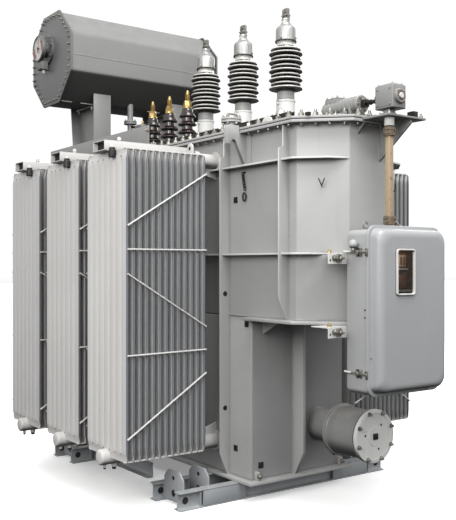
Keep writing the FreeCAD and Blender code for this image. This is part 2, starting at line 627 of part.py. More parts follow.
gear_end = "gear_front + gear_long"
gear_blank = fuse("gear_blank", [
    box("gear_block", "gear_front", "shaft_y - gear_wide / 2", "gear_low", "gear_long", "gear_wide", "gear_tall"),
    rod("gear_disc", gear_end, "shaft_y", "shaft_z", 40, 14, "x"),
    rod("gear_hub", f"{gear_end} + 14", "shaft_y", "shaft_z", 16, 8, "x"),
    rod("gear_foot", "shaft_x", "shaft_y", "platform_z + 12", 34, "gear_low - platform_z - 12"),
    rod("gear_collar", "shaft_x", "shaft_y", "platform_z - 50", 28, "gear_low - platform_z + 50")])
gear_bores = fuse("gear_bores", [
    rod("gear_bore_level", "gear_front", "shaft_y", "shaft_z", "shaft_bore", 20, "x"),
    rod("gear_bore_upright", "shaft_x", "shaft_y", "platform_z - 50", "shaft_bore", 30)])
keep(cut("gear_bored", gear_blank, gear_bores), "bevel_gearbox")

platform_end = "pocket_front + rim_over"
gusset_outline = [("pocket_front", "2100"), ("pocket_front", "rim_low"), (platform_end, "rim_low"),
                  (platform_end, "platform_z"), ("1745", "platform_z"), ("1745", "platform_z - 25")]
platform_top = block("platform_top", platform_end, 1762, -132, 180, "platform_z", "platform_z + 12")
collar_hole = rod("collar_hole", "shaft_x", "shaft_y", "platform_z", 28, 12)
keep(fuse("platform_set", [
    cut("platform_drilled", platform_top, collar_hole),
    plate("platform_gusset", "xz", gusset_outline, "bar_thick", y=80)]), "gearbox_platform")

keep(fuse("level_shaft_set", [
    rod("level_shaft", 1488, "shaft_y", "shaft_z", "shaft_radius", 174, "x"),
    rod("level_coupling_head", 1506, "shaft_y", "shaft_z", 22, 30, "x"),
    rod("level_coupling_gear", 1614, "shaft_y", "shaft_z", 22, 30, "x")]), "horizontal_shaft")

case_collar_top = "case_top + 26"
upright_low, upright_high = f"{case_collar_top} + 3", "platform_z - 53"
keep(fuse("upright_shaft_set", [
    rod("upright_pin", "shaft_x", "shaft_y", "case_top + 8", "shaft_radius", "platform_z - 30 - case_top - 8"),
    box("upright_tube", "shaft_x - tube_wide / 2", "shaft_y - tube_wide / 2", f"{upright_low} + 20", "tube_wide",
        "tube_wide", f"{upright_high} - ({upright_low}) - 40"),
    rod("upright_coupling_low", "shaft_x", "shaft_y", upright_low, 30, 56),
    rod("upright_coupling_high", "shaft_x", "shaft_y", f"{upright_high} - 56", 30, 56)]), "vertical_shaft")

# ---------------------------------------------------------------- motor drive
case_blank = block("case_blank", "case_back", "case_front", "-case_half", "case_half", "case_low", "case_top")
case_round = doc.addObject("Part::Fillet", "case_round")
case_round.Base = case_blank
doc.recompute()


def edges_along(shape, direction):
    """Numbers of the straight edges that run along a direction."""
    return [number for number, edge in enumerate(shape.Edges, start=1)
            if abs(abs(edge.tangentAt(edge.FirstParameter).dot(direction)) - 1) < 1e-6]


CASE_CORNER = 30
ROOM_CORNER = 26
DOOR_CORNER = 45
DOOR_EDGE = 22
ALONG = FreeCAD.Vector(1, 0, 0)
case_round.Edges = [(number, CASE_CORNER, CASE_CORNER) for number in edges_along(case_blank.Shape, ALONG)]
case_room_blank = block("case_room_blank", "case_back + case_wall", "case_front", "-case_half + case_wall",
                        "case_half - case_wall", "case_low + case_wall", "case_top - case_wall")
case_room = doc.addObject("Part::Fillet", "case_room")
case_room.Base = case_room_blank
doc.recompute()
case_room.Edges = [(number, ROOM_CORNER, ROOM_CORNER) for number in edges_along(case_room_blank.Shape, ALONG)]
case_collar = cut("case_collar", rod("collar_blank", "shaft_x", "shaft_y", "case_top", 30, 26),
                  rod("collar_bore", "shaft_x", "shaft_y", "case_top", "shaft_bore", 26))
keep(fuse("case_set", [cut("case_shell", case_round, case_room), case_collar]), "drive_case")

keep(fuse("mechanism_set", [
    block("gear_motor", "case_back + case_wall", 1700, -150, 60, 1080, 1560),
    block("control_tray", "case_back + case_wall", 1640, 90, 250, 1080, 1560)]), "drive_mechanism")

door_blank = block("door_blank", "door_back", "door_front", "-door_half", "door_half", "door_low", "door_top")
door_round = doc.addObject("Part::Fillet", "door_round")
door_round.Base = door_blank
doc.recompute()
door_round.Edges = [(number, DOOR_CORNER, DOOR_CORNER) for number in edges_along(door_blank.Shape, ALONG)]
doc.recompute()
front_edges = [number for number, edge in enumerate(door_round.Shape.Edges, start=1)
               if edge.BoundBox.XLength < 1e-6 and edge.BoundBox.XMin > door_blank.Placement.Base.x + 1]
door_soft = doc.addObject("Part::Fillet", "door_soft")
door_soft.Base = door_round
door_soft.Edges = [(number, DOOR_EDGE, DOOR_EDGE) for number in front_edges]
door_room = block("door_room", "door_back", "door_front - case_wall", "-door_half + 24", "door_half - 24",
                  "door_low + 24", "door_top - 24")
window_right = "window_left + window_wide"
window_hole = block("window_hole", "door_back", "door_front", "window_left", window_right, "window_low",
                    "window_top")
frame_blank = block("window_frame_blank", "door_front", "door_front + frame_proud", "window_left - frame_wide",
                    f"{window_right} + frame_wide", "window_low - frame_wide", "window_top + frame_wide")
frame_hole = block("window_frame_hole", "door_front", "door_front + frame_proud", "window_left", window_right,
                   "window_low", "window_top")
HINGE_LEVELS = (900, 1530)
PIN_RADIUS = 4
door_knuckles = [fuse(f"door_knuckle_{step + 1}", [
    rod(f"door_barrel_{step + 1}", "hinge_x", "hinge_y", level + 31, 9, 30),
    block(f"door_leaf_{step + 1}", "hinge_x + 3", "hinge_x + 40", "door_half", "hinge_y + 2", level + 31,
          level + 61)]) for step, level in enumerate(HINGE_LEVELS)]
pin_holes = [rod(f"pin_hole_{step + 1}", "hinge_x", "hinge_y", level + 31, PIN_RADIUS + 0.3, 30)
             for step, level in enumerate(HINGE_LEVELS)]
door_shell = cut("door_shell", cut("door_hollow", door_soft, door_room), window_hole)
door_hinged = cut("door_hinged", fuse("door_with_hinges", [
    door_shell, cut("window_frame", frame_blank, frame_hole)] + door_knuckles), fuse("pin_hole_pair", pin_holes))
keep(door_hinged, "drive_door")
keep(block("glass", "door_front - case_wall", "door_front", "window_left", window_right, "window_low",
           "window_top"), "drive_window")

fixed_knuckles = []
for step, level in enumerate(HINGE_LEVELS):
    fixed_knuckles += [
        rod(f"fixed_barrel_{step + 1}", "hinge_x", "hinge_y", level, 9, 30),
        rod(f"hinge_pin_{step + 1}", "hinge_x", "hinge_y", level, PIN_RADIUS, 62),
        block(f"fixed_leaf_{step + 1}", 1700, "hinge_x - 4", "case_half", "hinge_y - 2", level, level + 30)]
keep(fuse("hinge_set", fixed_knuckles), "door_hinges")


def mounting_angle(name, low, shelf_side):
    """An angle bar across the tank's end; its shelf is on the upper side, its leg on the case."""
    leg = block(name + "_leg", "case_back - angle_thick", "case_back", "-angle_half", "angle_half", low,
                f"{low} + angle_leg")
    shelf = block(name + "_shelf", shelf_side, "case_back - angle_thick", "-angle_half", "angle_half",
                  f"{low} + angle_leg - angle_thick", f"{low} + angle_leg")
    return fuse(name, [leg, shelf])


angles = fuse("angle_blanks", [
    mounting_angle("upper_angle", "bar_upper", "pocket_front - 60"),
    mounting_angle("lower_angle", "bar_lower", "pocket_front - 60")])
keep(cut("angle_set", angles, fuse("tank_and_ribs", [tank, rib_ring])), "drive_brackets")

keep(fuse("drum_set", [
    rod("drum_neck", "tank_front", "drum_y", "drum_z", 105, 220, "x"),
    rod("drum_back_ring", 1071, "drum_y", "drum_z", "drum_radius + 8", 18, "x"),
    rod("drum_barrel", 1089, "drum_y", "drum_z", "drum_radius - 6", 255, "x")]), "oil_chamber")
keep(rod("drum_lid", 1344, "drum_y", "drum_z", "drum_radius + 8", 30, "x"), "oil_chamber_cover")

# ---------------------------------------------------------------- check and write
doc.recompute()
for item in doc.Objects:
    if "Invalid" in item.State or "Error" in item.State:
        raise RuntimeError(f"{item.Name} failed: {item.State}")
for piece in sub_parts:
    if piece.Shape.isNull() or not piece.Shape.isValid():
        raise RuntimeError(f"{piece.Label} has no valid shape")

os.makedirs("parts", exist_ok=True)
for piece in sub_parts:
    piece.Shape.exportStep(f"parts/{piece.Label}.step")
    limits = piece.Shape.BoundBox
    print(f"{piece.Label:24s} {len(piece.Shape.Solids):3d} solids"
          f"  x {limits.XMin:8.1f} {limits.XMax:8.1f}  y {limits.YMin:8.1f} {limits.YMax:8.1f}"
          f"  z {limits.ZMin:8.1f} {limits.ZMax:8.1f}  {piece.Shape.Volume / 1e9:7.4f} m3")
print(len(sub_parts), "sub-parts")
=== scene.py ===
# %% [markdown]
# An oil-filled power transformer stands on a steel skid: a welded tank, six banks of
# pressed radiators, an oil conservator, porcelain bushings and a tap-changer drive
# cabinet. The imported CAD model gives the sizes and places. This notebook dresses it:
# it models the pressed, turned, bolted and welded detail over the CAD pieces, and
# gives each finish a procedural material.

# %% Load the frame
import math
import random

import bmesh
import bpy
from mathutils import Matrix, Vector


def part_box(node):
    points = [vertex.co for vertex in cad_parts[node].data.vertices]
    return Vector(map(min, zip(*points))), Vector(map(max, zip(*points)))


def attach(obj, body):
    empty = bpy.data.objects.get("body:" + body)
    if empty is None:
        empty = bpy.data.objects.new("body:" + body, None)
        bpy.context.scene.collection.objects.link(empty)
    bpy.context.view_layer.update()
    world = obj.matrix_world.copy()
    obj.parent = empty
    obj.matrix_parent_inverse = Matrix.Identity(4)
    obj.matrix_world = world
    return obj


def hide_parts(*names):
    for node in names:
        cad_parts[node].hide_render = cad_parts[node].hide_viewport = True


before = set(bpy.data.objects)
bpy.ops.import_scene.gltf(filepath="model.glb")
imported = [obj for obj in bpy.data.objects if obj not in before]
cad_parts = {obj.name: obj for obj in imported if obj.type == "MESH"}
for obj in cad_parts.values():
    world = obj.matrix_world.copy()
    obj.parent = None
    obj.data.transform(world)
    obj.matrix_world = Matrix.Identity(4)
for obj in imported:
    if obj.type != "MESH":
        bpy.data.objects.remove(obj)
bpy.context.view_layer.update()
QUARTER = math.pi / 2
random.seed(7)

# %% [markdown]
# The main sizes are read off the frame, each from the box of the CAD node that has it.
# A box is measured on a mesh, so its numbers are rounded to a tenth of a millimetre.
# Detail that CAD leaves out, such as a lip or a bolt circle, has its size where it is made.

# %% Sizes from the frame
def span(node, axis):
    """The lowest and highest coordinate of a CAD node along axis 0, 1 or 2."""
    low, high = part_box(node)
    return round(low[axis], 4), round(high[axis], 4)


def centre(node, axis):
    """The middle of a CAD node along an axis."""
    return round(sum(span(node, axis)) / 2, 4)


TANK_BACK, POCKET_FRONT = span("tank_body", 0)
TANK_FRONT, TANK_HALF = span("pocket_floor", 0)[0], span("tank_body", 1)[1]
BASE_TOP, POCKET_LOW = span("tank_base_plate", 2)[1], span("pocket_floor", 2)[1]
RIM_LOW, COVER_TOP = span("tank_rim", 2)[0], span("tank_cover", 2)[1]
RADIATOR_X = [centre(f"near_radiator_{number}", 0) for number in (1, 2, 3)]
HEADER_END, BOX_TOP = -span("near_radiator_1", 1)[0], span("near_radiator_1", 2)[1]
HV_X, HV_Y = [centre(f"hv_insulator_{number}", 0) for number in (1, 2, 3)], centre("hv_insulator_1", 1)
LV_X, LV_Y = [centre(f"lv_insulator_{number}", 0) for number in (1, 2, 3)], centre("lv_insulator_1", 1)
KEG_X, KEG_Z = centre("conservator_shell", 0), centre("conservator_shell", 2)
FLAT = round(span("conservator_shell", 2)[1] - KEG_Z, 4)
GAUGE = (centre("oil_gauge", 0), centre("oil_gauge", 2))
SHAFT_X, SHAFT_Y = centre("vertical_shaft", 0), centre("vertical_shaft", 1)
SHAFT_Z = centre("horizontal_shaft", 2)
CASE_HALF, CASE_LOW = span("drive_case", 1)[1], span("drive_case", 2)[0]
DOOR_HALF, (DOOR_LOW, DOOR_TOP) = -span("drive_door", 1)[0], span("drive_door", 2)
WINDOW = (*span("drive_window", 1), *span("drive_window", 2))
DRUM_Y, DRUM_Z = centre("oil_chamber_cover", 1), centre("oil_chamber_cover", 2)
print("tank", TANK_BACK, "to", POCKET_FRONT, "m; radiators at", RADIATOR_X)

# %% [markdown]
# The camera and lights come first, so that every later cell can be judged in a render.
# The eye stands low, off the front corner where the drive cabinet hangs, and looks level,
# so all uprights stay upright. The scene stands on a pale floor in soft studio light:
# a broad sky light overhead, weaker windows from two sides, and a pale surround.

# %% Camera
EYE = Vector((4.92, -3.52, 1.483))
HEADING = math.radians(54.1)
LENS = 56.6
HORIZON_SHIFT = 0.0106

camera_data = bpy.data.cameras.new("studio_camera")
camera_data.lens = LENS
camera_data.sensor_width = 36.0
camera_data.shift_y = HORIZON_SHIFT
camera_data.clip_end = 200.0
camera = bpy.data.objects.new("studio_camera", camera_data)
camera.location = EYE
camera.rotation_euler = (QUARTER, 0.0, HEADING)
bpy.context.scene.collection.objects.link(camera)
bpy.context.scene.camera = camera
print("camera at", tuple(EYE), "lens", LENS)

# %% Lights and floor
bpy.context.scene.view_settings.view_transform = "Standard"
world = bpy.data.worlds.new("studio_surround")
world.use_nodes = True
sky = world.node_tree
direction = sky.nodes.new("ShaderNodeSeparateXYZ")
sky.links.new(sky.nodes.new("ShaderNodeTexCoord").outputs["Generated"], direction.inputs["Vector"])
ground_fade = sky.nodes.new("ShaderNodeMapRange")
ground_fade.interpolation_type = "SMOOTHSTEP"
for socket, value in (("From Min", -0.1), ("From Max", 0.0), ("To Min", 0.08), ("To Max", 1.04)):
    ground_fade.inputs[socket].default_value = value
sky.links.new(direction.outputs["Z"], ground_fade.inputs["Value"])
sky.links.new(ground_fade.outputs["Result"], sky.nodes["Background"].inputs["Strength"])
sky.nodes["Background"].inputs["Color"].default_value = (1.0, 1.0, 1.0, 1.0)
bpy.context.scene.world = world


def area_light(name, place, aim, size, watts, colour=(1.0, 1.0, 1.0)):
    """A square soft light at a place, aimed at a point."""
    lamp = bpy.data.lights.new(name, "AREA")
    lamp.size = size
    lamp.energy = watts
    lamp.color = colour
    holder = bpy.data.objects.new(name, lamp)
    holder.location = place
    holder.rotation_euler = (Vector(aim) - Vector(place)).to_track_quat("-Z", "Y").to_euler()
    bpy.context.scene.collection.objects.link(holder)
    return holder


area_light("window_light", (3.9, -6.3, 4.0), (0.7, 0.0, 1.4), 3.0, 262, (1.0, 0.985, 0.96))
area_light("camera_side_light", (8.0, -4.0, 5.5), (1.0, 0.0, 1.7), 3.0, 112, (0.97, 0.985, 1.0))
area_light("sky_light", (3.3, -1.0, 7.0), (0.6, 0.0, 2.2), 3.0, 340)
area_light("back_light", (-5.0, 8.0, 5.0), (0.0, 0.0, 1.6), 4.0, 200)
area_light("cabinet_lamp", (1.772, -0.06, 1.64), (1.64, 0.06, 1.43), 0.05, 0.36, (1.0, 0.93, 0.85))

floor_shape = bmesh.new()
bmesh.ops.create_grid(floor_shape, x_segments=1, y_segments=1, size=60.0)
floor_mesh = bpy.data.meshes.new("studio_floor")
floor_shape.to_mesh(floor_mesh)
floor_shape.free()
floor = bpy.data.objects.new("studio_floor", floor_mesh)
bpy.context.scene.collection.objects.link(floor)
floor_paint = bpy.data.materials.new("studio_floor")
floor_paint.use_nodes = True
floor_shader = floor_paint.node_tree.nodes["Principled BSDF"]
floor_shader.inputs["Base Color"].default_value = (0.95, 0.95, 0.95, 1.0)
floor_shader.inputs["Roughness"].default_value = 0.9
floor_shader.inputs["Emission Color"].default_value = (1.0, 1.0, 1.0, 1.0)
floor_shader.inputs["Emission Strength"].default_value = 0.24
floor_mesh.materials.append(floor_paint)
floor.visible_diffuse = False    # the pale floor throws no light back up under the skid
floor.visible_glossy = False
print("four lights, the cabinet's own lamp and a floor")

# %% [markdown]
# Every finish is procedural. Shader maths reads best as plain maths, so a small class
# wraps a node's output and overloads the operators, and one method makes any other
# node from its type, its settings and the values or links of its sockets.

# %% A finish and its wires
UP = (0.0, 0.0, 1.0)


class Wire:
    """One output of a shader node; maths on it adds Math nodes."""

    def __init__(self, finish, socket):
        self.finish = finish
        self.socket = socket

    def maths(self, operation, first, second):
        return self.finish.add("ShaderNodeMath", {"operation": operation}, {0: first, 1: second})

    def __add__(self, other):
        return self.maths("ADD", self, other)

    def __radd__(self, other):
        return self.maths("ADD", other, self)

    def __sub__(self, other):
        return self.maths("SUBTRACT", self, other)

    def __rsub__(self, other):
        return self.maths("SUBTRACT", other, self)

    def __mul__(self, other):
        return self.maths("MULTIPLY", self, other)

    def __rmul__(self, other):
        return self.maths("MULTIPLY", other, self)

    def over(self, low, high):
        """0 below low, 1 above high, smooth between."""
        return self.finish.add("ShaderNodeMapRange", {"interpolation_type": "SMOOTHSTEP"},
            {"Value": self, "From Min": low, "From Max": high})


class Finish:
    """A material being made, with one Principled shader."""

    def __init__(self, name, **fixed):
        self.material = bpy.data.materials.new(name)
        self.material.use_nodes = True
        self.tree = self.material.node_tree
        self.shader = self.tree.nodes["Principled BSDF"]
        for socket, value in fixed.items():
            self.shader.inputs[socket.replace("_", " ")].default_value = value
        self.place = self.add("ShaderNodeTexCoord", output="Object")

    def add(self, kind, settings=None, values=None, output=0):
        """A node: its settings are set first, then its sockets are given values or links."""
        node = self.tree.nodes.new(kind)
        for name, value in (settings or {}).items():
            if name == "stops":
                while len(node.color_ramp.elements) < len(value):
                    node.color_ramp.elements.new(0.5)
                for stop, (position, colour) in zip(node.color_ramp.elements, value):
                    stop.position = position
                    stop.color = colour
            else:
                setattr(node, name, value)
        for name, value in (values or {}).items():
            if isinstance(value, Wire):
                self.tree.links.new(value.socket, node.inputs[name])
            else:
                node.inputs[name].default_value = value
        return Wire(self, node.outputs[output])

    def set(self, socket, value):
        """Links a wire to one of the shader's own sockets, or sets a number or colour."""
        if isinstance(value, Wire):
            self.tree.links.new(value.socket, self.shader.inputs[socket])
        else:
            self.shader.inputs[socket].default_value = value
        return self

    def stretched(self, x, y, z):
        """Object coordinates with each axis scaled."""
        return self.add("ShaderNodeMapping", None, {"Vector": self.place, "Scale": (x, y, z)})

    def noise(self, scale, detail=3.0, rough=0.55, where=None, warp=0.0):
        return self.add("ShaderNodeTexNoise", None, {"Vector": where or self.place, "Scale": scale,
            "Detail": detail, "Roughness": rough, "Distortion": warp})

    def upward(self):
        """1 where the surface faces straight up, -1 where it faces down."""
        facing = self.add("ShaderNodeNewGeometry", output="Normal")
        return self.add("ShaderNodeVectorMath", {"operation": "DOT_PRODUCT"}, {0: facing, 1: UP}, "Value")

    def mix(self, factor, first, second):
        """From the first colour to the second as the factor goes from 0 to 1."""
        return self.add("ShaderNodeMix", {"data_type": "RGBA"}, {0: factor, 6: first, 7: second}, output=2)

    def bump(self, height, depth, strength=1.0, under=None):
        """Gives the surface a relief of so many metres; reliefs stack through under."""
        values = {"Height": height, "Distance": depth, "Strength": strength}
        if under is not None:
            values["Normal"] = under
        return self.add("ShaderNodeBump", None, values)


def tone(colour, factor):
    """The same colour, lighter or darker."""
    return (colour[0] * factor, colour[1] * factor, colour[2] * factor, 1.0)


print("shader helpers ready")

# %% [markdown]
# Transformer paint is a thick satin enamel, sprayed over hot-rolled plate. Up close it
# has a fine orange peel, over a metre it drifts a little in tone where coats overlap,
# and rain leaves faint upright streaks. Dust settles on what faces up. Each of these is
# one noise at its own scale, and all feed colour, roughness and bump together.

# %% Sprayed enamel
def enamel(name, colour, rough=0.42, drift=0.1, streaks=0.1, dust=0.16, peel=0.00012):
    """Satin sprayed paint with drift, rain streaks, settled dust, orange peel and painted shade on what
    faces down.
    """
    paint = Finish(name, Coat_Weight=0.1, Coat_Roughness=0.3)
    cloud = paint.noise(1.3, 4.0, 0.6, warp=0.6)
    rain = paint.noise(1.0, 3.0, 0.6, where=paint.stretched(34.0, 34.0, 1.1))
    grain = paint.noise(260.0, 2.0, 0.5)
    specks = paint.noise(85.0, 2.0, 0.7).over(0.7, 0.78)
    base = paint.mix(cloud.over(0.3, 0.7), tone(colour, 1.0 - drift), tone(colour, 1.0 + drift))
    streak = rain.over(0.52, 0.74) * streaks
    base = paint.mix(streak, base, tone(colour, 0.62))
    base = paint.mix(specks * 0.1, base, tone(colour, 0.55))
    upward = paint.upward()
    settled = upward.over(0.45, 0.95) * paint.noise(9.0, 4.0, 0.65).over(0.25, 0.75) * dust
    base = paint.mix(settled, base, (0.62, 0.6, 0.55, 1.0))
    # faces turned down go nearly black: painted shade on undersides
    downward = (upward * -1.0).over(0.15, 0.75)
    base = paint.mix(downward * 0.88, base, tone(colour, 0.12))
    paint.set("Base Color", base)
    paint.set("Roughness", rough + cloud * 0.1 + rain * 0.08 + settled * 0.6 - 0.09)
    relief = paint.bump(grain, peel * 6.0, 0.35)
    paint.set("Normal", paint.bump(paint.noise(18.0, 2.0, 0.5), 0.0006, 0.35, under=relief))
    return paint.material


TANK_GREY = (0.345, 0.345, 0.342)
tank_paint = enamel("tank_paint", TANK_GREY, rough=0.4, drift=0.06)
# a darker grey for the lower tank's front under the pocket: painted shade of the overhang
under_pocket_painted_shade = enamel("lower_tank_painted_shade", (0.24, 0.241, 0.24), rough=0.42, drift=0.07, streaks=0.16)
skid_paint = enamel("skid_paint", (0.29, 0.305, 0.318), rough=0.5, streaks=0.2, dust=0.3)
# near-black painted shade for the panel edges that face a neighbouring bank
fin_gap_painted_shade = enamel("fin_gap_painted_shade", (0.06, 0.066, 0.072), rough=0.5, drift=0.05)
# the panels' side edges take a darker bluish paint: painted shade for the side that gets less light
fin_edge_painted_shade = enamel("fin_edge_painted_shade", (0.118, 0.136, 0.152), rough=0.4, drift=0.05, streaks=0.1)
falloff_shaded_bank_paints = []
for number, part in enumerate((1.0, 0.93, 0.85), start=1):    # nearer banks lighter, farther darker: painted shade for the light falling off
    falloff_shaded_grey = tone((0.53, 0.521, 0.509), part)[:3]
    falloff_shaded_bank_paints.append(enamel(f"radiator_paint_{number}", falloff_shaded_grey, rough=0.44, drift=0.035, streaks=0.05))
radiator_paint = falloff_shaded_bank_paints[0]
conservator_paint = enamel("conservator_paint", (0.185, 0.185, 0.183), rough=0.46, drift=0.05)
# a near-black grey for the conservator's downward faces: painted shade
keg_underside_painted_shade = enamel("conservator_underside_painted_shade", (0.1, 0.1, 0.098), rough=0.55, drift=0.08)
keg_end_paint = enamel("keg_end_paint", (0.112, 0.115, 0.113), rough=0.48, drift=0.06)
cabinet_paint = enamel("cabinet_paint", (0.318, 0.324, 0.332), rough=0.36, drift=0.03, streaks=0.05)
case_paint = enamel("case_paint", (0.345, 0.35, 0.352), rough=0.36, drift=0.03, streaks=0.05)
trim_paint = enamel("trim_paint", (0.56, 0.56, 0.545), rough=0.4, streaks=0.16)
turret_paint = enamel("turret_paint", (0.27, 0.272, 0.262), rough=0.4, streaks=0.3)
gear_paint = enamel("gear_paint", (0.215, 0.215, 0.21), rough=0.42, streaks=0.1, dust=0.25)
print("sixteen enamels")

# %% [markdown]
# Glazed porcelain is glass over fired clay: a thick clear coat that mirrors the light
# over a body with a soft mottling, where the glaze pooled thick or ran thin. The
# high-voltage insulators are glazed grey, the low-voltage ones the usual dark brown.

# %% Glazed porcelain
def porcelain(name, body, pool, mottle_scale):
    """Glaze over clay, with painted shade where the surface faces down."""
    glaze = Finish(name, Roughness=0.16, Coat_Roughness=0.06, IOR=1.55)
    mottle = glaze.noise(mottle_scale, 5.0, 0.62, warp=0.8)
    runs = glaze.noise(1.0, 3.0, 0.5, where=glaze.stretched(60.0, 60.0, 9.0))
    colour = glaze.mix(mottle.over(0.32, 0.68), (*body, 1.0), (*pool, 1.0))
    colour = glaze.mix(runs.over(0.55, 0.8) * 0.35, colour, tone(body, 0.6))
    # faces turned down go nearly black: painted shade on undersides
    under = (glaze.upward() * -1.0).over(0.3, 0.8)
    glaze.set("Base Color", glaze.mix(under * 0.94, colour, tone(body, 0.05)))
    glaze.set("Roughness", 0.16 + mottle * 0.14 + under * 0.55)
    glaze.set("Coat Weight", (0.3 + mottle * 0.2) * (1.0 - under))
    glaze.set("Normal", glaze.bump(glaze.noise(140.0, 2.0, 0.5), 0.0004, 0.25))
    return glaze.material


grey_porcelain = porcelain("grey_porcelain", (0.64, 0.63, 0.6), (0.5, 0.492, 0.468), 22.0)
# near-black porcelain for the core between the sheds: painted shade
porcelain_core_painted_shade = porcelain("porcelain_core_painted_shade", (0.05, 0.05, 0.046), (0.03, 0.03, 0.028), 22.0)
brown_porcelain = porcelain("brown_porcelain", (0.02, 0.01, 0.008), (0.012, 0.007, 0.006), 30.0)
print("three porcelains")

# %% [markdown]
# Bare metals are told apart by how they are made. Zinc-plated fasteners are bright with
# a spangle and a slight yellow passivation, cast aluminium caps are sandy and pale,
# turned brass carries fine rings and tarnishes in the hollows, and machined steel has a
# brushed grain. Metallic stays near one; colour, roughness and bump carry the story.

# %% Metals
def metal(name, bright, dull, rough, grain_scale, grain_depth, spangle=60.0, stretch=(1.0, 1.0, 1.0)):
    """Bare metal with patches, a grain and a little tarnish."""
    surface = Finish(name)
    patches = surface.noise(spangle, 4.0, 0.6, where=surface.stretched(*stretch), warp=0.5)
    grain = surface.noise(grain_scale, 3.0, 0.6, where=surface.stretched(*stretch))
    tarnish = surface.noise(7.0, 4.0, 0.65).over(0.48, 0.72)
    colour = surface.mix(patches.over(0.35, 0.65), (*bright, 1.0), (*dull, 1.0))
    surface.set("Base Color", surface.mix(tarnish * 0.35, colour, tone(dull, 0.55)))
    surface.set("Metallic", 0.96 - tarnish * 0.25)
    surface.set("Roughness", rough + patches * 0.12 + tarnish * 0.14)
    surface.set("Normal", surface.bump(grain, grain_depth, 0.5))
    return surface.material


zinc = metal("zinc_plating", (0.38, 0.37, 0.34), (0.22, 0.21, 0.18), 0.34, 300.0, 0.0002)
cast_cap = metal("cast_aluminium", (0.5, 0.5, 0.49), (0.33, 0.33, 0.32), 0.46, 420.0, 0.0004, 60.0,
    (1.0, 1.0, 0.12))
brass = metal("turned_brass", (0.54, 0.4, 0.17), (0.34, 0.23, 0.09), 0.26, 900.0, 0.0002, 40.0,
    (0.05, 0.05, 1.0))
steel = metal("machined_steel", (0.3, 0.29, 0.27), (0.17, 0.165, 0.15), 0.36, 240.0, 0.0002, 50.0,
    (1.0, 1.0, 0.1))
black_steel = metal("blackened_steel", (0.06, 0.058, 0.055), (0.035, 0.034, 0.033), 0.42, 260.0, 0.0003)
print("five metals")

# %% [markdown]
# The small finishes: cork-rubber gasket between the flanges, near-black painted shade for the
# inside of the open header boxes and the holes, the tan paint of the drive shaft with chips
# down to primer, the brown primer inside the drive cabinet, the gauge's enamelled dial and clear glass.

# %% Small finishes
def coated(name, colour, other, scale, rough, depth, cover=(0.4, 0.62)):
    """A dull surface of two tones with a matching relief."""
    skin = Finish(name)
    blotch = skin.noise(scale, 5.0, 0.65, warp=0.4)
    fine = skin.noise(scale * 9.0, 3.0, 0.6)
    skin.set("Base Color", skin.mix(blotch.over(*cover), (*colour, 1.0), (*other, 1.0)))
    skin.set("Roughness", rough + fine * 0.16 - 0.08)
    skin.set("Normal", skin.bump(fine, depth, 0.5))
    return skin.material


rubber = coated("gasket_rubber", (0.02, 0.019, 0.018), (0.034, 0.031, 0.028), 60.0, 0.72, 0.0006)
# near-black painted shade for hollows: inside the open header boxes and in the holes through plates
hollow_painted_shade = coated("hollows_painted_shade", (0.006, 0.006, 0.006), (0.016, 0.015, 0.013), 25.0, 0.85, 0.0008)
shaft_paint = coated("shaft_paint", (0.37, 0.278, 0.175), (0.19, 0.135, 0.08), 34.0, 0.46,
    0.0005, (0.54, 0.7))
shaft_joint = coated("shaft_joint", (0.11, 0.075, 0.045), (0.19, 0.14, 0.09), 60.0, 0.4, 0.0005)
primer = coated("brown_primer", (0.25, 0.125, 0.066), (0.155, 0.074, 0.04), 22.0, 0.58, 0.0006)
tan_casting = coated("tan_casting", (0.64, 0.47, 0.3), (0.52, 0.36, 0.22), 30.0, 0.45, 0.0008)
weld_metal = coated("weld_bead", (0.3, 0.302, 0.3), (0.225, 0.228, 0.228), 120.0, 0.44, 0.0035)
dial_white = coated("dial_white", (0.52, 0.5, 0.48), (0.4, 0.385, 0.37), 14.0, 0.35, 0.0002)
dial_red = coated("dial_red", (0.38, 0.06, 0.045), (0.28, 0.045, 0.035), 20.0, 0.36, 0.0002)
ink = coated("dial_ink", (0.02, 0.02, 0.02), (0.04, 0.04, 0.04), 90.0, 0.5, 0.0001)

clear_glass = Finish("window_glass", Alpha=0.05, IOR=1.45)
smear = clear_glass.noise(12.0, 4.0, 0.6, warp=1.2)
clear_glass.set("Base Color", clear_glass.mix(smear, (0.1, 0.11, 0.11, 1.0), (0.22, 0.23, 0.21, 1.0)))
clear_glass.set("Roughness", 0.04 + smear.over(0.45, 0.8) * 0.12)
glass = clear_glass.material
print("small finishes ready")

# %% [markdown]
# The mesh helpers come next. A shape is a bmesh; each helper starts one from an operator
# (a cube, a cone, a spun profile, an extruded outline), and `stamp` copies a finished
# shape to many places, which is how bolts, fins and sheds repeat. `piece` cleans a
# shape, turns faces outward, marks the creases sharp, and hangs it on its CAD body.

# %% Mesh helpers
CREASE = math.radians(32)
pieces = []


def crisp_edges(shape, limit=CREASE):
    """The edges where two faces meet at more than the crease angle."""
    return [e for e in shape.edges if len(e.link_faces) == 2 and e.calc_face_angle(0.0) > limit]


def soften(shape, width, segments=2, limit=CREASE):
    """Rounds every crisp edge."""
    if width > 0:
        bmesh.ops.bevel(shape, geom=crisp_edges(shape, limit), offset=width, segments=segments, profile=0.5,
            affect="EDGES", clamp_overlap=True, material=-1)
    return shape


def slab(x0, x1, y0, y1, z0, z1, edge=0.003, segments=2):
    """A block between two corners with rounded edges."""
    shape = bmesh.new()
    bmesh.ops.create_cube(shape, size=1.0)
    bmesh.ops.scale(shape, vec=(x1 - x0, y1 - y0, z1 - z0), verts=shape.verts)
    bmesh.ops.translate(shape, vec=((x0 + x1) / 2, (y0 + y1) / 2, (z0 + z1) / 2), verts=shape.verts)
    return soften(shape, edge, segments)


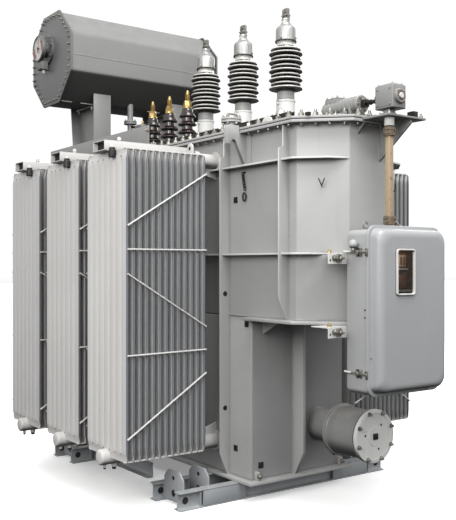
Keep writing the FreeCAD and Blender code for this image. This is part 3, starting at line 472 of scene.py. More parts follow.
AXES = {"x": Matrix.Rotation(QUARTER, 4, "Y"), "y": Matrix.Rotation(-QUARTER, 4, "X"), "z": Matrix.Identity(
    4), "-x": Matrix.Rotation(-QUARTER, 4, "Y"), "-y": Matrix.Rotation(QUARTER, 4, "X"),
    "-z": Matrix.Rotation(math.pi, 4, "X")}


NEAR = Matrix.Identity(4)
FAR = Matrix.Scale(-1, 4, (0, 1, 0))


def at(x, y, z, axis="z", turn=0.0):
    """A placing matrix: local Z turned onto an axis, then moved."""
    return Matrix.Translation((x, y, z)) @ AXES[axis] @ Matrix.Rotation(turn, 4, "Z")


def lathe(profile, segments=48):
    """A profile of (radius, height) pairs spun about Z."""
    shape = bmesh.new()
    ring = [shape.verts.new((radius, 0.0, height)) for radius, height in profile]
    edges = [shape.edges.new(pair) for pair in zip(ring, ring[1:])]
    bmesh.ops.spin(shape, geom=ring + edges, axis=(0, 0, 1), cent=(0, 0, 0), angle=math.tau,
        steps=segments, use_merge=True)
    bmesh.ops.remove_doubles(shape, verts=shape.verts, dist=1e-6)
    return shape


def disc(radius, low, high, edge=0.002, segments=40):
    """A round plate or post from low to high with rounded rims."""
    e = min(edge, radius * 0.4, (high - low) * 0.4)
    return lathe([(0, low), (radius - e, low), (radius - e * 0.3, low + e * 0.3), (radius, low + e),
        (radius, high - e), (radius - e * 0.3, high - e * 0.3), (radius - e, high), (0, high)], segments)


def outline(corners, low, high, edge=0.002, segments=2):
    """A flat outline in plan, extruded from low to high, with rounded edges."""
    shape = bmesh.new()
    face = shape.faces.new([shape.verts.new((x, y, low)) for x, y in corners])
    raised = bmesh.ops.extrude_face_region(shape, geom=[face])
    bmesh.ops.translate(shape, vec=(0, 0, high - low), verts=[v for v in raised["geom"] if isinstance(
        v, bmesh.types.BMVert)])
    bmesh.ops.recalc_face_normals(shape, faces=shape.faces)
    return soften(shape, edge, segments)


def upright(corners, y0, y1, edge=0.002, segments=2):
    """The same outline standing in the XZ plane, from y0 to y1."""
    shape = outline(corners, -y1, -y0, edge, segments)
    bmesh.ops.transform(shape, matrix=Matrix.Rotation(QUARTER, 4, "X"), verts=shape.verts)
    return shape


def endwise(corners, x0, x1, edge=0.002, segments=2):
    """The same outline standing in the YZ plane, from x0 to x1."""
    shape = outline(corners, x0, x1, edge, segments)
    swap = Matrix(((0, 0, 1, 0), (1, 0, 0, 0), (0, 1, 0, 0), (0, 0, 0, 1)))
    bmesh.ops.transform(shape, matrix=swap, verts=shape.verts)
    return shape


def stamp(target, source, *places, keep=False):
    """Copies a shape into another, once for each placing matrix."""
    mesh = bpy.data.meshes.new("stamp")
    source.to_mesh(mesh)
    for place in places or (Matrix.Identity(4),):
        copy = mesh.copy()
        copy.transform(place)
        if place.determinant() < 0:
            copy.flip_normals()
        target.from_mesh(copy)
        bpy.data.meshes.remove(copy)
    bpy.data.meshes.remove(mesh)
    if not keep:
        source.free()
    return target


def paint(shape, index):
    """Gives every face of a shape one of its piece's materials."""
    for face in shape.faces:
        face.material_index = index
    return shape


def sweep(points, radius, sides=10, ripple=0.0, step=None):
    """A round bar along points; a ripple makes it the stacked dimes of a weld."""
    if step:
        fine = []
        for start, end in zip(points, points[1:]):
            count = max(1, int((Vector(end) - Vector(start)).length / step))
            fine += [Vector(start).lerp(Vector(end), i / count) for i in range(count)]
        points = fine + [Vector(points[-1])]
    points = [Vector(p) for p in points]
    shape = bmesh.new()
    side = None
    rings = []
    for number, point in enumerate(points):
        ahead = points[min(number + 1, len(points) - 1)] - points[max(number - 1, 0)]
        ahead.normalize()
        if side is None:
            side = ahead.orthogonal().normalized()
        side = (side - ahead * side.dot(ahead)).normalized()
        across = ahead.cross(side)
        swell = radius * (1.0 + (ripple * (0.5 if number % 2 else -0.5) + random.uniform(
            -0.3, 0.3) * ripple))
        rings.append(
            [shape.verts.new(point + (side * math.cos(math.tau * k / sides) + across * math.sin(
            math.tau * k / sides)) * swell) for k in range(sides)])
    for low, high in zip(rings, rings[1:]):
        for k in range(sides):
            shape.faces.new((low[k], low[(k + 1) % sides], high[(k + 1) % sides], high[k]))
    shape.faces.new(list(reversed(rings[0])))
    shape.faces.new(rings[-1])
    return shape


def weld(*corners, radius=0.0045):
    """A rippled bead through the corners."""
    return sweep(corners, radius, sides=6, ripple=0.22, step=0.0075)


def arc(wide, tall, count, angle=math.tau, middle=(0, 0)):
    """Points round an ellipse, or round a part of it."""
    return [(middle[0] + wide * math.cos(angle * k / count), middle[1] + tall * math.sin(angle * k / count))
        for k in range(count + 1)]


def bead(target, *corners, radius=0.0045):
    """A weld bead stamped into a shape, in the second of its piece's materials."""
    return stamp(target, paint(weld(*corners, radius=radius), 1))


def fit(target, source, index, *place):
    """Paints a shape and stamps it into another at a place."""
    return stamp(target, paint(source, index), at(*place) if place else NEAR)


def bend(corners, radius, steps=6):
    """The points of a bar with each inner corner rounded."""
    points = [Vector(corners[0])]
    for before, corner, after in zip(corners, corners[1:], corners[2:]):
        before, corner, after = Vector(before), Vector(corner), Vector(after)
        start = corner + (before - corner).normalized() * radius
        end = corner + (after - corner).normalized() * radius
        for i in range(steps + 1):
            t = i / steps
            points.append(start.lerp(corner, t).lerp(corner.lerp(end, t), t))
    return points + [Vector(corners[-1])]


def piece(name, shape, materials, replaced=None, body="transformer"):
    """Turns a shape into an object that rides on a CAD body in place of a CAD node."""
    bmesh.ops.remove_doubles(shape, verts=shape.verts, dist=1e-6)
    bmesh.ops.recalc_face_normals(shape, faces=shape.faces)
    for edge in shape.edges:
        edge.smooth = len(edge.link_faces) == 2 and edge.calc_face_angle(0.0) < CREASE
    for face in shape.faces:
        face.smooth = True
    mesh = bpy.data.meshes.new(name)
    triangles = sum(len(f.verts) - 2 for f in shape.faces)
    shape.to_mesh(mesh)
    shape.free()
    for material in materials:
        mesh.materials.append(material)
    item = bpy.data.objects.new(name, mesh)
    bpy.context.scene.collection.objects.link(item)
    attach(item, body)
    if replaced:
        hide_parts(replaced)
    pieces.append((name, triangles))
    return item


print("mesh helpers ready")

# %% [markdown]
# Fasteners are modelled once and stamped everywhere: a washer, a hexagon with the
# chamfered top that forging leaves, and a stub of thread. Each copy is turned by a
# random angle, because no fitter lines up the flats.

# %% Bolts and nuts
def bolt(across, stub=0.6, washer=True, sides=6):
    """A hexagon nut or head sitting on the plane z = 0."""
    shape = bmesh.new()
    r = across / math.sqrt(3.0)
    base = 0.0
    if washer:
        stamp(shape, lathe([(0, 0), (r * 1.22, 0), (r * 1.22, across * 0.1), (0, across * 0.1)], 14))
        base = across * 0.1
    tall = across * 0.58
    nut = bmesh.new()
    bmesh.ops.create_cone(nut, cap_ends=True, segments=sides, radius1=r, radius2=r, depth=tall)
    bmesh.ops.translate(nut, vec=(0, 0, base + tall / 2), verts=nut.verts)
    top = [e for e in nut.edges if all(v.co.z > base + tall * 0.9 for v in e.verts)]
    bmesh.ops.bevel(nut, geom=top, offset=across * 0.09, segments=1, profile=0.5,
        affect="EDGES", material=-1)
    stamp(shape, nut)
    if stub > 0:
        z = base + tall
        stamp(shape, lathe([(0, z), (across * 0.3, z), (across * 0.3, z + across * stub * 0.8),
            (across * 0.23, z + across * stub), (0, z + across * stub)], 10))
    return shape


def screw(across):
    """A bare hexagon head, with neither washer nor stub."""
    return bolt(across, 0, False)


def scatter(target, source, places, index=0, keep=False):
    """Stamps a fastener at (x, y, z, axis) places, each at its own angle."""
    paint(source, index)
    return stamp(target, source, *[at(x, y, z, axis, random.uniform(0, math.pi / 3)) for x, y, z,
        axis in places], keep=keep)


def round_places(x, y, z, axis, radius, count, start=0.0):
    """Places evenly round a circle in the plane across an axis."""
    spots = []
    for k in range(count):
        a = start + math.tau * k / count
        u, v = radius * math.cos(a), radius * math.sin(a)
        offset = {"x": (0, u, v), "y": (u, 0, v), "z": (u, v, 0)}[axis[-1]]
        spots.append((x + offset[0], y + offset[1], z + offset[2], axis))
    return spots


def square_places(x, y, z, axis, half_u, half_v):
    """Places at the four corners of a rectangle in the plane across an axis."""
    spots = []
    for u in (-half_u, half_u):
        for v in (-half_v, half_v):
            offset = {"x": (0, u, v), "y": (u, 0, v), "z": (u, v, 0)}[axis[-1]]
            spots.append((x + offset[0], y + offset[1], z + offset[2], axis))
    return spots


print("fasteners ready")

# %% [markdown]
# Each radiator is thirteen pressed panels. A panel is two thin sheets, welded round the
# border and along six seams, then blown apart by the press: seven shallow flutes, round
# side edges, and a flat welded lip at the top and bottom. One sheet is a grid whose rows
# and columns bunch up where the shape turns; a mirror gives the back.

# %% One pressed panel
PANEL_X, PANEL_HALF, PANEL_LOW, PANEL_TOP = 0.26, 0.009, 0.325, 2.173
SEAMS = [k * 0.074 for k in (-2.5, -1.5, -0.5, 0.5, 1.5, 2.5)]
LIP, SWELL, CORNER = 0.016, 0.045, 0.03


def smooth(t):
    """An even S-curve from 0 to 1."""
    t = min(1.0, max(0.0, t))
    return t * t * (3 - 2 * t)


def panel_depth(x, rise):
    """Half thickness at a distance from the middle and a height above the nearer end."""
    edge = max(0.0, abs(x) - (PANEL_X - PANEL_HALF))
    round_off = math.sqrt(max(0.0, 1 - (edge / PANEL_HALF) ** 2))
    swell = smooth((rise - LIP) / SWELL)
    thick = 0.0016 + (PANEL_HALF - 0.0016) * swell
    groove = max(math.exp(-((x - seam) / 0.0075) ** 2) for seam in SEAMS)
    dent = 0.0062 * groove * smooth((rise - LIP - 0.02) / 0.045)
    return max(0.0012, thick - dent) * round_off


def panel():
    """A whole panel, standing in the XZ plane about y = 0, its middle at x = 0."""
    columns = [seam + o for seam in SEAMS for o in (-0.016, -0.007, 0.0, 0.007, 0.016)]
    columns += [s * (PANEL_X - d) for s in (-1, 1) for d in (0.0, 0.0008, 0.003, 0.006, 0.01, 0.018)]
    columns += [k * 0.074 for k in range(-3, 4)]
    columns = sorted(columns)
    tall = PANEL_TOP - PANEL_LOW
    ends = [0.0, 0.0, LIP * 0.5, LIP, LIP + 0.01, LIP + 0.02, LIP + 0.032, LIP + 0.045,
        LIP + 0.065, LIP + 0.09]
    rows = ends + [tall * 0.3, tall * 0.5, tall * 0.7] + [tall - e for e in reversed(ends)]
    shape = bmesh.new()
    bmesh.ops.create_grid(shape, x_segments=len(columns) - 1, y_segments=len(rows) - 1, size=0.5)
    last = len(rows) - 1
    for vert in shape.verts:
        i = round((vert.co.x + 0.5) * (len(columns) - 1))
        j = round((vert.co.y + 0.5) * last)
        x, level = columns[i], rows[j]
        rise = min(level, tall - level)
        turn = max(0.0, abs(x) - (PANEL_X - CORNER))
        cut_in = CORNER - math.sqrt(max(0.0, CORNER ** 2 - turn ** 2))
        shift = cut_in * max(0.0, 1 - rise / 0.12)
        border = j in (0, last) or i in (0, len(columns) - 1)
        y = 0.0 if border else -panel_depth(x, rise)
        z = level + (shift if level < tall / 2 else -shift)
        vert.co = (x, y, PANEL_LOW + z)
    bmesh.ops.mirror(shape, geom=shape.verts[:] + shape.edges[:] + shape.faces[:], merge_dist=1e-6, axis="Y")
    # the rounded side edges take index 5, the darker bluish painted shade
    for face in shape.faces:
        if abs(face.calc_center_median().x) > PANEL_X - 0.008:
            face.material_index = 5
    return shape


PANELS, PITCH, OUTER = 13, 0.045, 1.208
INNER = -OUTER + (PANELS - 1) * PITCH + 2 * PANEL_HALF
print("panel triangles:", 2 * len(panel().faces))

# %% [markdown]
# The panels hang from a box header along the top and drain into a round header at the
# bottom; both run on to the tank wall as pipes, with a flange at the wall and a gusset.
# Flat strips tie the panels' top corners, thin rods brace their side edges, and small
# plugs and drain cocks sit on the headers. The row of dots under the lip of the outer
# panel is where the two sheets are spot-welded in the seams.

# %% Radiator banks
PIPE_LOW, PIPE_HIGH, PIPE_R = 0.322, 2.17, 0.048
BOX_HALF, BOX_LOW = 0.075, PANEL_TOP


def open_box(x):
    """The top header: a thin-walled box, open at its outer end."""
    shape = bmesh.new()
    wall = 0.0055
    stamp(shape, slab(x - BOX_HALF, x + BOX_HALF, -HEADER_END, INNER, BOX_TOP - wall, BOX_TOP, 0.002))
    stamp(shape, slab(x - BOX_HALF, x + BOX_HALF, -HEADER_END, INNER, BOX_LOW, BOX_LOW + wall, 0.002))
    for side in (-1, 1):
        a, b = sorted((x + side * BOX_HALF, x + side * (BOX_HALF - wall)))
        stamp(shape, slab(a, b, -HEADER_END, INNER, BOX_LOW + 0.001, BOX_TOP - 0.001, 0.002))
    stamp(shape, slab(x - BOX_HALF, x + BOX_HALF, INNER - wall, INNER, BOX_LOW, BOX_TOP, 0.002))
    # a near-black lining fills the box: painted shade inside its open end
    lining = slab(x - BOX_HALF + wall, x + BOX_HALF - wall, -HEADER_END + 0.03, INNER - wall, BOX_LOW + wall,
        BOX_TOP - wall, 0.0)
    fit(shape, lining, 1)
    for side in (-1, 1):
        stamp(shape, weld((x + side * BOX_HALF, -HEADER_END + 0.02, BOX_LOW), (x + side * BOX_HALF, INNER,
            BOX_LOW), radius=0.003))
    return shape


def radiator(x):
    """One bank on the near side, its materials in the order of bank_finish."""
    shape = bmesh.new()
    sheet = panel()
    sheet.normal_update()
    for face in sheet.faces:
        # edges that face the next bank get the near-black painted shade of the gap
        facing_bank = (face.normal.x > 0 and x < RADIATOR_X[0]) or (face.normal.x < 0 and x > RADIATOR_X[2])
        if face.material_index == 5 and facing_bank:
            face.material_index = 6
    stamp(shape, sheet, *[at(x + random.uniform(-0.0006, 0.0006), -OUTER + PANEL_HALF + k * PITCH, 0)
        for k in range(PANELS)])
    # the spot welds are dark dots: painted shade for their small dimples
    for seam in SEAMS:
        fit(shape, disc(0.0045, 0, 0.0016, 0.0006, 12), 2, x + seam, -OUTER + 0.003, 2.128, "-y")
        fit(shape, disc(0.0045, 0, 0.0016, 0.0006, 12), 2, x + seam, -OUTER + 0.003, 0.372, "-y")
    stamp(shape, open_box(x))
    # the bottom header, with a closed end, a shallow cap and two drain cocks
    stamp(shape, lathe([(0, 0), (0.036, 0), (0.041, 0.002), (0.044, 0.006), (0.047, 0.009), (PIPE_R, 0.013),
        (PIPE_R, HEADER_END + INNER), (0, HEADER_END + INNER)], 36), at(x, -HEADER_END, PIPE_LOW, "y"))
    for along, size in ((-HEADER_END + 0.04, 0.01), (-HEADER_END + 0.105, 0.017)):
        stamp(shape, disc(size, -0.016, 0.008, 0.002, 20), at(x, along, PIPE_LOW - PIPE_R - 0.002))
        fit(shape, screw(size * 1.5), 2, x, along, PIPE_LOW - PIPE_R - 0.018, "-z")
    # edge strips over and under the panels, at both side edges
    for side in (-1, 1):
        for level, tall in ((PANEL_TOP - 0.006, 0.01), (PANEL_LOW - 0.002, 0.008)):
            edge = x + side * 0.224
            stamp(shape, slab(edge - 0.013, edge + 0.013, -OUTER + 0.004, INNER - 0.004, level,
                level + tall, 0.0015, 1))
    # the vent plug beside the box, with its white ball, and a nipple on the box
    vent = lathe([(0, 0), (0.021, 0), (0.024, 0.004), (0.024, 0.04), (0.019, 0.047), (0.019, 0.058),
        (0, 0.058)], 24)
    fit(shape, vent, 2, x + 0.105, -OUTER - 0.014, 2.128)
    bulb = bmesh.new()
    bmesh.ops.create_uvsphere(bulb, u_segments=16, v_segments=10, radius=0.012)
    fit(shape, bulb, 3, x + 0.105, -OUTER - 0.014, 2.192)
    stamp(shape, slab(x + 0.076, x + 0.108, -OUTER - 0.024, -OUTER - 0.004, 2.15, 2.158, 0.002))
    stamp(shape, lathe([(0, 0), (0.01, 0), (0.01, 0.018), (0.013, 0.02), (0.013, 0.034), (0.006, 0.04),
        (0, 0.04)], 20), at(x - 0.02, -OUTER + 0.1, BOX_TOP))
    # the arched lug with a hole at the inner end of the top
    lug = upright(arc(0.03, 0.03, 12, math.pi, (x + 0.15, BOX_LOW + 0.048)) + [(x + 0.12, BOX_LOW - 0.01),
        (x + 0.18, BOX_LOW - 0.01)], -0.7, -0.688, 0.002)
    stamp(shape, lug)
    # the lug's hole is a near-black disc: painted shade
    fit(shape, disc(0.012, 0, 0.0135, 0.0004, 20), 1, x + 0.15, -0.7008, BOX_LOW + 0.046, "y")
    # welds between every panel and the bottom header
    for k in range(PANELS):
        y = -OUTER + PANEL_HALF + k * PITCH
        for side in (-1, 1):
            fit(shape, weld((x + side * 0.045, y, PIPE_LOW + 0.02), (x + side * 0.02, y, PIPE_LOW + 0.047),
                radius=0.0035), 4)
    return shape


def header_pipes(x):
    """The pipes from a bank to the tank wall, with wall flanges and gussets."""
    shape = bmesh.new()
    run = -TANK_HALF - INNER
    for level in (PIPE_LOW, PIPE_HIGH):
        stamp(shape, lathe([(0, 0), (PIPE_R, 0), (PIPE_R, run * 0.35), (0.06, run * 0.35),
            (0.06, run * 0.35 + 0.012), (PIPE_R, run * 0.35 + 0.012), (PIPE_R, run - 0.014),
            (0.066, run - 0.014), (0.068, run - 0.012), (0.068, run), (0, run)], 36),
            at(x, INNER, level, "y"))
        stamp(shape, lathe([(0, 0), (0.058, 0), (0.06, 0.002), (0.06, 0.01), (0.058, 0.012), (0, 0.012)],
            36), at(x, INNER + run * 0.35 - 0.014, level, "y"))
        scatter(shape, bolt(0.013, 0.3), round_places(x, INNER + run * 0.35 - 0.014, level, "-y",
            0.0545, 6, 0.3), 1)
    for level, rise in ((PIPE_LOW + PIPE_R, 0.075), (PIPE_HIGH - PIPE_R, -0.075)):
        wedge = endwise([(INNER + 0.01, level - math.copysign(0.006, rise)),
            (INNER + run, level - math.copysign(0.006, rise)), (INNER + run, level + rise)], x - 0.005,
            x + 0.005, 0.0015, 1)
        stamp(shape, wedge)
    return shape


def brace_rods(x):
    """Thin rods across the side edges of a bank's panels, some sloping."""
    shape = bmesh.new()
    for side in (-1, 1):
        for outer, inner in ((1.715, 2.05), (1.577, 1.577), (1.434, 1.103), (0.955, 0.962), (0.465, 0.818)):
            edge = x + side * (PANEL_X + 0.005)
            stamp(shape, sweep([(edge, -OUTER + 0.002, outer), (edge, INNER - 0.002, inner)], 0.0058, 10))
            for k in range(PANELS):
                t = (k * PITCH + PANEL_HALF) / (INNER + OUTER)
                spot = Vector((edge - side * 0.003, -OUTER + PANEL_HALF + k * PITCH,
                    outer + (inner - outer) * t))
                blob = bmesh.new()
                bmesh.ops.create_icosphere(blob, subdivisions=1, radius=0.0075)
                stamp(shape, paint(blob, 1), Matrix.Translation(spot))
    return shape


bank_finish = [hollow_painted_shade, black_steel, trim_paint, weld_metal, fin_edge_painted_shade, fin_gap_painted_shade]
for number, x in enumerate(RADIATOR_X, start=1):
    for side, turn in (("near", NEAR), ("far", FAR)):
        bank = stamp(bmesh.new(), radiator(x), turn)
        piece(f"{side}_radiator_bank_{number}", bank, [falloff_shaded_bank_paints[number - 1]] + bank_finish,
            f"{side}_radiator_{number}")
for side, turn in (("near", NEAR), ("far", FAR)):
    rods, pipes = bmesh.new(), bmesh.new()
    for x in RADIATOR_X:
        stamp(rods, brace_rods(x), turn)
        stamp(pipes, header_pipes(x), turn)
    piece(f"{side}_rods", rods, [radiator_paint, weld_metal], f"{side}_brace_rods")
    piece(f"{side}_pipes", pipes, [radiator_paint, zinc], f"{side}_header_pipes")
print("radiator banks:", sum(t for name, t in pieces), "triangles")

# %% [markdown]
# The tank is plate, bent and welded. The lower tank is a plain box; above it the front
# widens into a pocket with cut corners, which carries the tap changer. Every stiffener,
# rib and shelf is tacked on with a visible bead, so the beads are modelled: a thin bar
# whose radius jumps from ring to ring, which the bevelled light picks out as ripples.

# %% Tank walls
POCKET_SIDE, POCKET_HALF = 1.28, 0.172    # where the side wall ends, and half of the flat front
RIM_TOP, COVER_LOW = 2.3305, 2.335    # the gasket lies between them
LUG_X = (0.788, -1.015)


def tank_plan(over=0.0, turn=0.0):
    """Plan of the upper tank, grown by an overhang."""
    side, front, rear = TANK_HALF + over, POCKET_FRONT + over, TANK_BACK - over
    start, half = POCKET_SIDE + turn, POCKET_HALF + turn
    return [(rear, -side), (start, -side), (front, -half), (front, half), (start, side), (rear, side)]


walls = slab(TANK_BACK, TANK_FRONT, -TANK_HALF, TANK_HALF, BASE_TOP, POCKET_LOW + 0.001, 0.01, 3)
walls.normal_update()
for face in walls.faces:
    if face.normal.x > 0.5:    # painted shade on the front face, under the pocket's overhang
        face.material_index = 2
stamp(walls, outline(tank_plan(), POCKET_LOW, RIM_TOP, 0.007, 3))
for x, y in ((0.683, 1.905), (0.8, 1.113), (0.683, 0.307), (-0.3, 0.25), (-0.9, 0.25)):
    for side in (-1, 1):
        pad = slab(x - 0.019, x + 0.019, -0.003, 0.003, y - 0.019, y + 0.019, 0.0015)
        fit(walls, pad, 1, 0, side * (TANK_HALF + 0.002), 0)
for side in (-1, 1):
    fit(walls, slab(TANK_FRONT - 0.002, TANK_FRONT + 0.005, -0.019, 0.019, 0.201, 0.239, 0.0015), 1, 0,
        side * 0.319, 0)
piece("tank_walls", walls, [tank_paint, black_steel, under_pocket_painted_shade], "tank_body")

base = slab(TANK_BACK - 0.05, TANK_FRONT + 0.05, -TANK_HALF - 0.05, TANK_HALF + 0.05, 0.11, BASE_TOP, 0.003)
edge = TANK_HALF + 0.004
for y in (-edge, edge):
    bead(base, (TANK_BACK, y, BASE_TOP), (TANK_FRONT, y, BASE_TOP), radius=0.007)
for x in (TANK_FRONT + 0.004, TANK_BACK - 0.004):
    bead(base, (x, -edge, BASE_TOP), (x, edge, BASE_TOP), radius=0.007)
for side in (-1, 1):
    boss = slab(TANK_FRONT - 0.05, TANK_FRONT + 0.03, -0.011, 0.011, BASE_TOP, BASE_TOP + 0.055, 0.004)
    stamp(base, boss, at(0, side * 0.355, 0))
    scatter(base, bolt(0.024), [(TANK_FRONT + 0.03, side * 0.355, BASE_TOP + 0.028, "x")], 2)
piece("base_plate", base, [tank_paint, weld_metal, zinc], "tank_base_plate")

shelf_plan = [(TANK_FRONT - 0.01, -TANK_HALF - 0.065), (POCKET_SIDE + 0.0257, -TANK_HALF - 0.065),
    (POCKET_FRONT + 0.065, -POCKET_HALF - 0.0257), (POCKET_FRONT + 0.065, POCKET_HALF + 0.0257),
    (POCKET_SIDE + 0.0257, TANK_HALF + 0.065), (TANK_FRONT - 0.01, TANK_HALF + 0.065)]
shelf = outline(shelf_plan, 1.14, 1.16, 0.004)
lip = [(x, y, 1.1635) for x, y in ((0.62, -0.3935), (POCKET_SIDE + 0.002, -0.3935),
    (POCKET_FRONT + 0.0035, -0.1735), (POCKET_FRONT + 0.0035, 0.1735), (POCKET_SIDE + 0.002, 0.3935),
    (0.62, 0.3935))]
bead(shelf, *lip, radius=0.006)
for side in (-1, 1):
    wedge = upright([(TANK_FRONT, 1.141), (TANK_FRONT, 1.06), (TANK_FRONT + 0.012, 1.05),
        (TANK_FRONT + 0.16, 1.128), (TANK_FRONT + 0.16, 1.141)], -0.006, 0.006, 0.0015)
    stamp(shelf, wedge, at(0, side * 0.3, 0))
piece("pocket_shelf", shelf, [tank_paint, weld_metal], "pocket_floor")
print("tank walls done")

# %% [markdown]
# Stiffeners and ribs stand out from the walls. The upright bars have a raked foot and a
# narrower neck under the rim; the level ribs run between them and taper out where the
# pocket's cut corners begin. A bead follows each joint on both sides.

# %% Stiffeners and ribs
def painted_highlight_edges(shape, chosen):
    """Paints a plate's outward edges in the light trim paint: a painted highlight."""
    shape.normal_update()
    for face in shape.faces:
        if chosen(face.normal):
            face.material_index = 3


def side_bar(x, foot):
    """One upright bar on the near wall, with its two beads."""
    wall, face = -TANK_HALF, -TANK_HALF - 0.077
    shape = endwise([(wall + 0.002, foot), (wall - 0.02, foot), (face, foot + 0.14), (face, 2.168),
        (face + 0.005, 2.178), (wall - 0.045, 2.188), (wall - 0.045, RIM_LOW), (wall + 0.002, RIM_LOW)],
        x - 0.006, x + 0.006, 0.0022)
    # the face that looks out from the wall takes the light trim paint: a painted highlight
    painted_highlight_edges(shape, lambda normal: normal.y < -0.8)
    for side in (-1, 1):
        bead(shape, (x + side * 0.0075, wall - 0.001, foot + 0.002),
            (x + side * 0.0075, wall - 0.001, RIM_LOW))
    return shape


bars = bmesh.new()
for number in range(4):
    x = 0.61 + (1 - number) * 0.596
    stamp(bars, side_bar(x, POCKET_LOW if number == 0 else BASE_TOP))
    if number:
        for level in (1.3, 0.56):
            for face in (-0.0061, 0.0061):
                # each hole through the bar is a near-black disc in a ring: painted shade
                fit(bars, disc(0.017, -0.0005, 0.0005, 0.0002, 24), 2, x + face, -0.428, level, "x")
                ring = lathe([(0.0168, -0.001), (0.02, -0.001), (0.02, 0.001), (0.0168, 0.001)], 24)
                stamp(bars, ring, at(x + face, -0.428, level, "x"))
bar_finish = [tank_paint, weld_metal, hollow_painted_shade, trim_paint]
far_bars = stamp(bmesh.new(), bars, FAR, keep=True)
piece("near_bars", bars, bar_finish, "near_stiffeners")
piece("far_bars", far_bars, bar_finish, "far_stiffeners")

end_bars = upright([(TANK_FRONT - 0.002, BASE_TOP), (TANK_FRONT + 0.02, BASE_TOP), (TANK_FRONT + 0.1, 0.28),
    (TANK_FRONT + 0.1, 1.14), (TANK_FRONT - 0.002, 1.14)], -0.052, -0.028, 0.003)
stamp(end_bars, upright([(TANK_BACK + 0.002, BASE_TOP), (TANK_BACK - 0.02, BASE_TOP),
    (TANK_BACK - 0.077, 0.27), (TANK_BACK - 0.077, 2.168), (TANK_BACK - 0.045, 2.188),
    (TANK_BACK - 0.045, RIM_LOW), (TANK_BACK + 0.002, RIM_LOW)], -0.006, 0.006, 0.0022))
for side in (-1, 1):
    bead(end_bars, (TANK_FRONT + 0.001, -0.04 + side * 0.0135, BASE_TOP + 0.002),
        (TANK_FRONT + 0.001, -0.04 + side * 0.0135, 1.14))
    bead(end_bars, (TANK_BACK - 0.001, side * 0.0075, BASE_TOP + 0.002),
        (TANK_BACK - 0.001, side * 0.0075, RIM_LOW))
piece("end_bars", end_bars, bar_finish, "end_stiffeners")


def side_rib(level, part):
    """A level rib along the near wall and round half of the rear wall."""
    face, back = -TANK_HALF - 0.062, TANK_BACK - 0.062
    run = (POCKET_FRONT - POCKET_SIDE) * part
    plan = [(TANK_BACK + 0.002, -TANK_HALF + 0.002), (TANK_BACK + 0.002, 0.0), (back, 0.0), (back, face),
        (POCKET_SIDE + 0.0257, face), (POCKET_SIDE + 0.0257 + run * 0.7, face + run * 0.7),
        (POCKET_SIDE + run, -TANK_HALF + run + 0.001), (POCKET_SIDE, -TANK_HALF + 0.002)]
    shape = outline(plan, level - 0.006, level + 0.006, 0.0022)
    # the rib's side edges take the light trim paint: a painted highlight
    painted_highlight_edges(shape, lambda normal: abs(normal.z) < 0.8)
    for height in (level - 0.0075, level + 0.0075):
        bead(shape, (TANK_BACK - 0.001, 0.0, height), (TANK_BACK - 0.001, -TANK_HALF - 0.001, height),
            (POCKET_SIDE, -TANK_HALF - 0.001, height), (POCKET_SIDE + run * 0.95,
            -TANK_HALF + run * 0.95 - 0.001, height), radius=0.004)
    return shape


ribs = bmesh.new()
for level, part in ((2.108, 1.0), (1.553, 0.5)):
    stamp(ribs, side_rib(level, part), NEAR, FAR)
piece("level_ribs", ribs, bar_finish, "tank_ribs")
print("stiffeners and ribs done")

# %% [markdown]
# The cover sits on the rim over a cork-rubber gasket, clamped by a bolt every 95 mm all
# the way round: a nut above, a nut below. The bolt line follows the plan of the tank,
# half way across the overhang. Hook plates for lifting stand in front of the rim.

# %% Rim, gasket, cover and its bolts
def along(corners, pitch, inset=0.05):
    """Points at an even pitch along each side of a closed outline."""
    spots = []
    for (x0, y0), (x1, y1) in zip(corners, corners[1:] + corners[:1]):
        reach = math.hypot(x1 - x0, y1 - y0)
        count = max(1, round((reach - 2 * inset) / pitch))
        for k in range(count + 1):
            t = (inset + (reach - 2 * inset) * k / count) / reach
            spots.append((x0 + (x1 - x0) * t, y0 + (y1 - y0) * t))
    return spots


rim = outline(tank_plan(0.06, 0.025), RIM_LOW, RIM_TOP, 0.0025)
joint = [(x, y, RIM_LOW - 0.001) for x, y in tank_plan(0.003, 0.001)]
bead(rim, *joint, joint[0], radius=0.005)
bolt_line = [(x, y) for x, y in along(tank_plan(0.036, 0.015), 0.095, 0.045) if min(
    abs(x - lug) for lug in LUG_X) > 0.03 or abs(y) < 0.4]
scatter(rim, bolt(0.017, 0.25, False), [(x, y, RIM_LOW, "-z") for x, y in bolt_line], 2)
piece("rim", rim, [tank_paint, weld_metal, zinc], "tank_rim")

cover = outline(tank_plan(0.06, 0.025), COVER_LOW, COVER_TOP, 0.0025)
fit(cover, outline(tank_plan(0.057, 0.024), RIM_TOP, COVER_LOW, 0.001), 1)
scatter(cover, bolt(0.03, 0.6), [(x, y, COVER_TOP, "z") for x, y in bolt_line], 2)
half_lug = arc(0.045, 0.032, 16, math.pi) + [(-0.045, -0.012), (0.045, -0.012)]
for x in (1.07, -0.87):
    for side in (-1, 1):
        fit(cover, upright(half_lug, -0.005, 0.005, 0.002), 3, x, side * 0.44, COVER_TOP)
for x, y in ((1.15, -0.33), (1.02, -0.3), (0.3, -0.32), (-0.02, -0.32), (-0.86, 0.33),
        (0.3, 0.02), (-0.82, 0.08)):
    for across in (y, -y):
        stamp(cover, lathe([(0, 0), (0.03, 0), (0.03, 0.01), (0.018, 0.012), (0.018, 0.036), (0.026, 0.038),
            (0.026, 0.05), (0.008, 0.054), (0, 0.054)], 20), at(x, across, COVER_TOP))
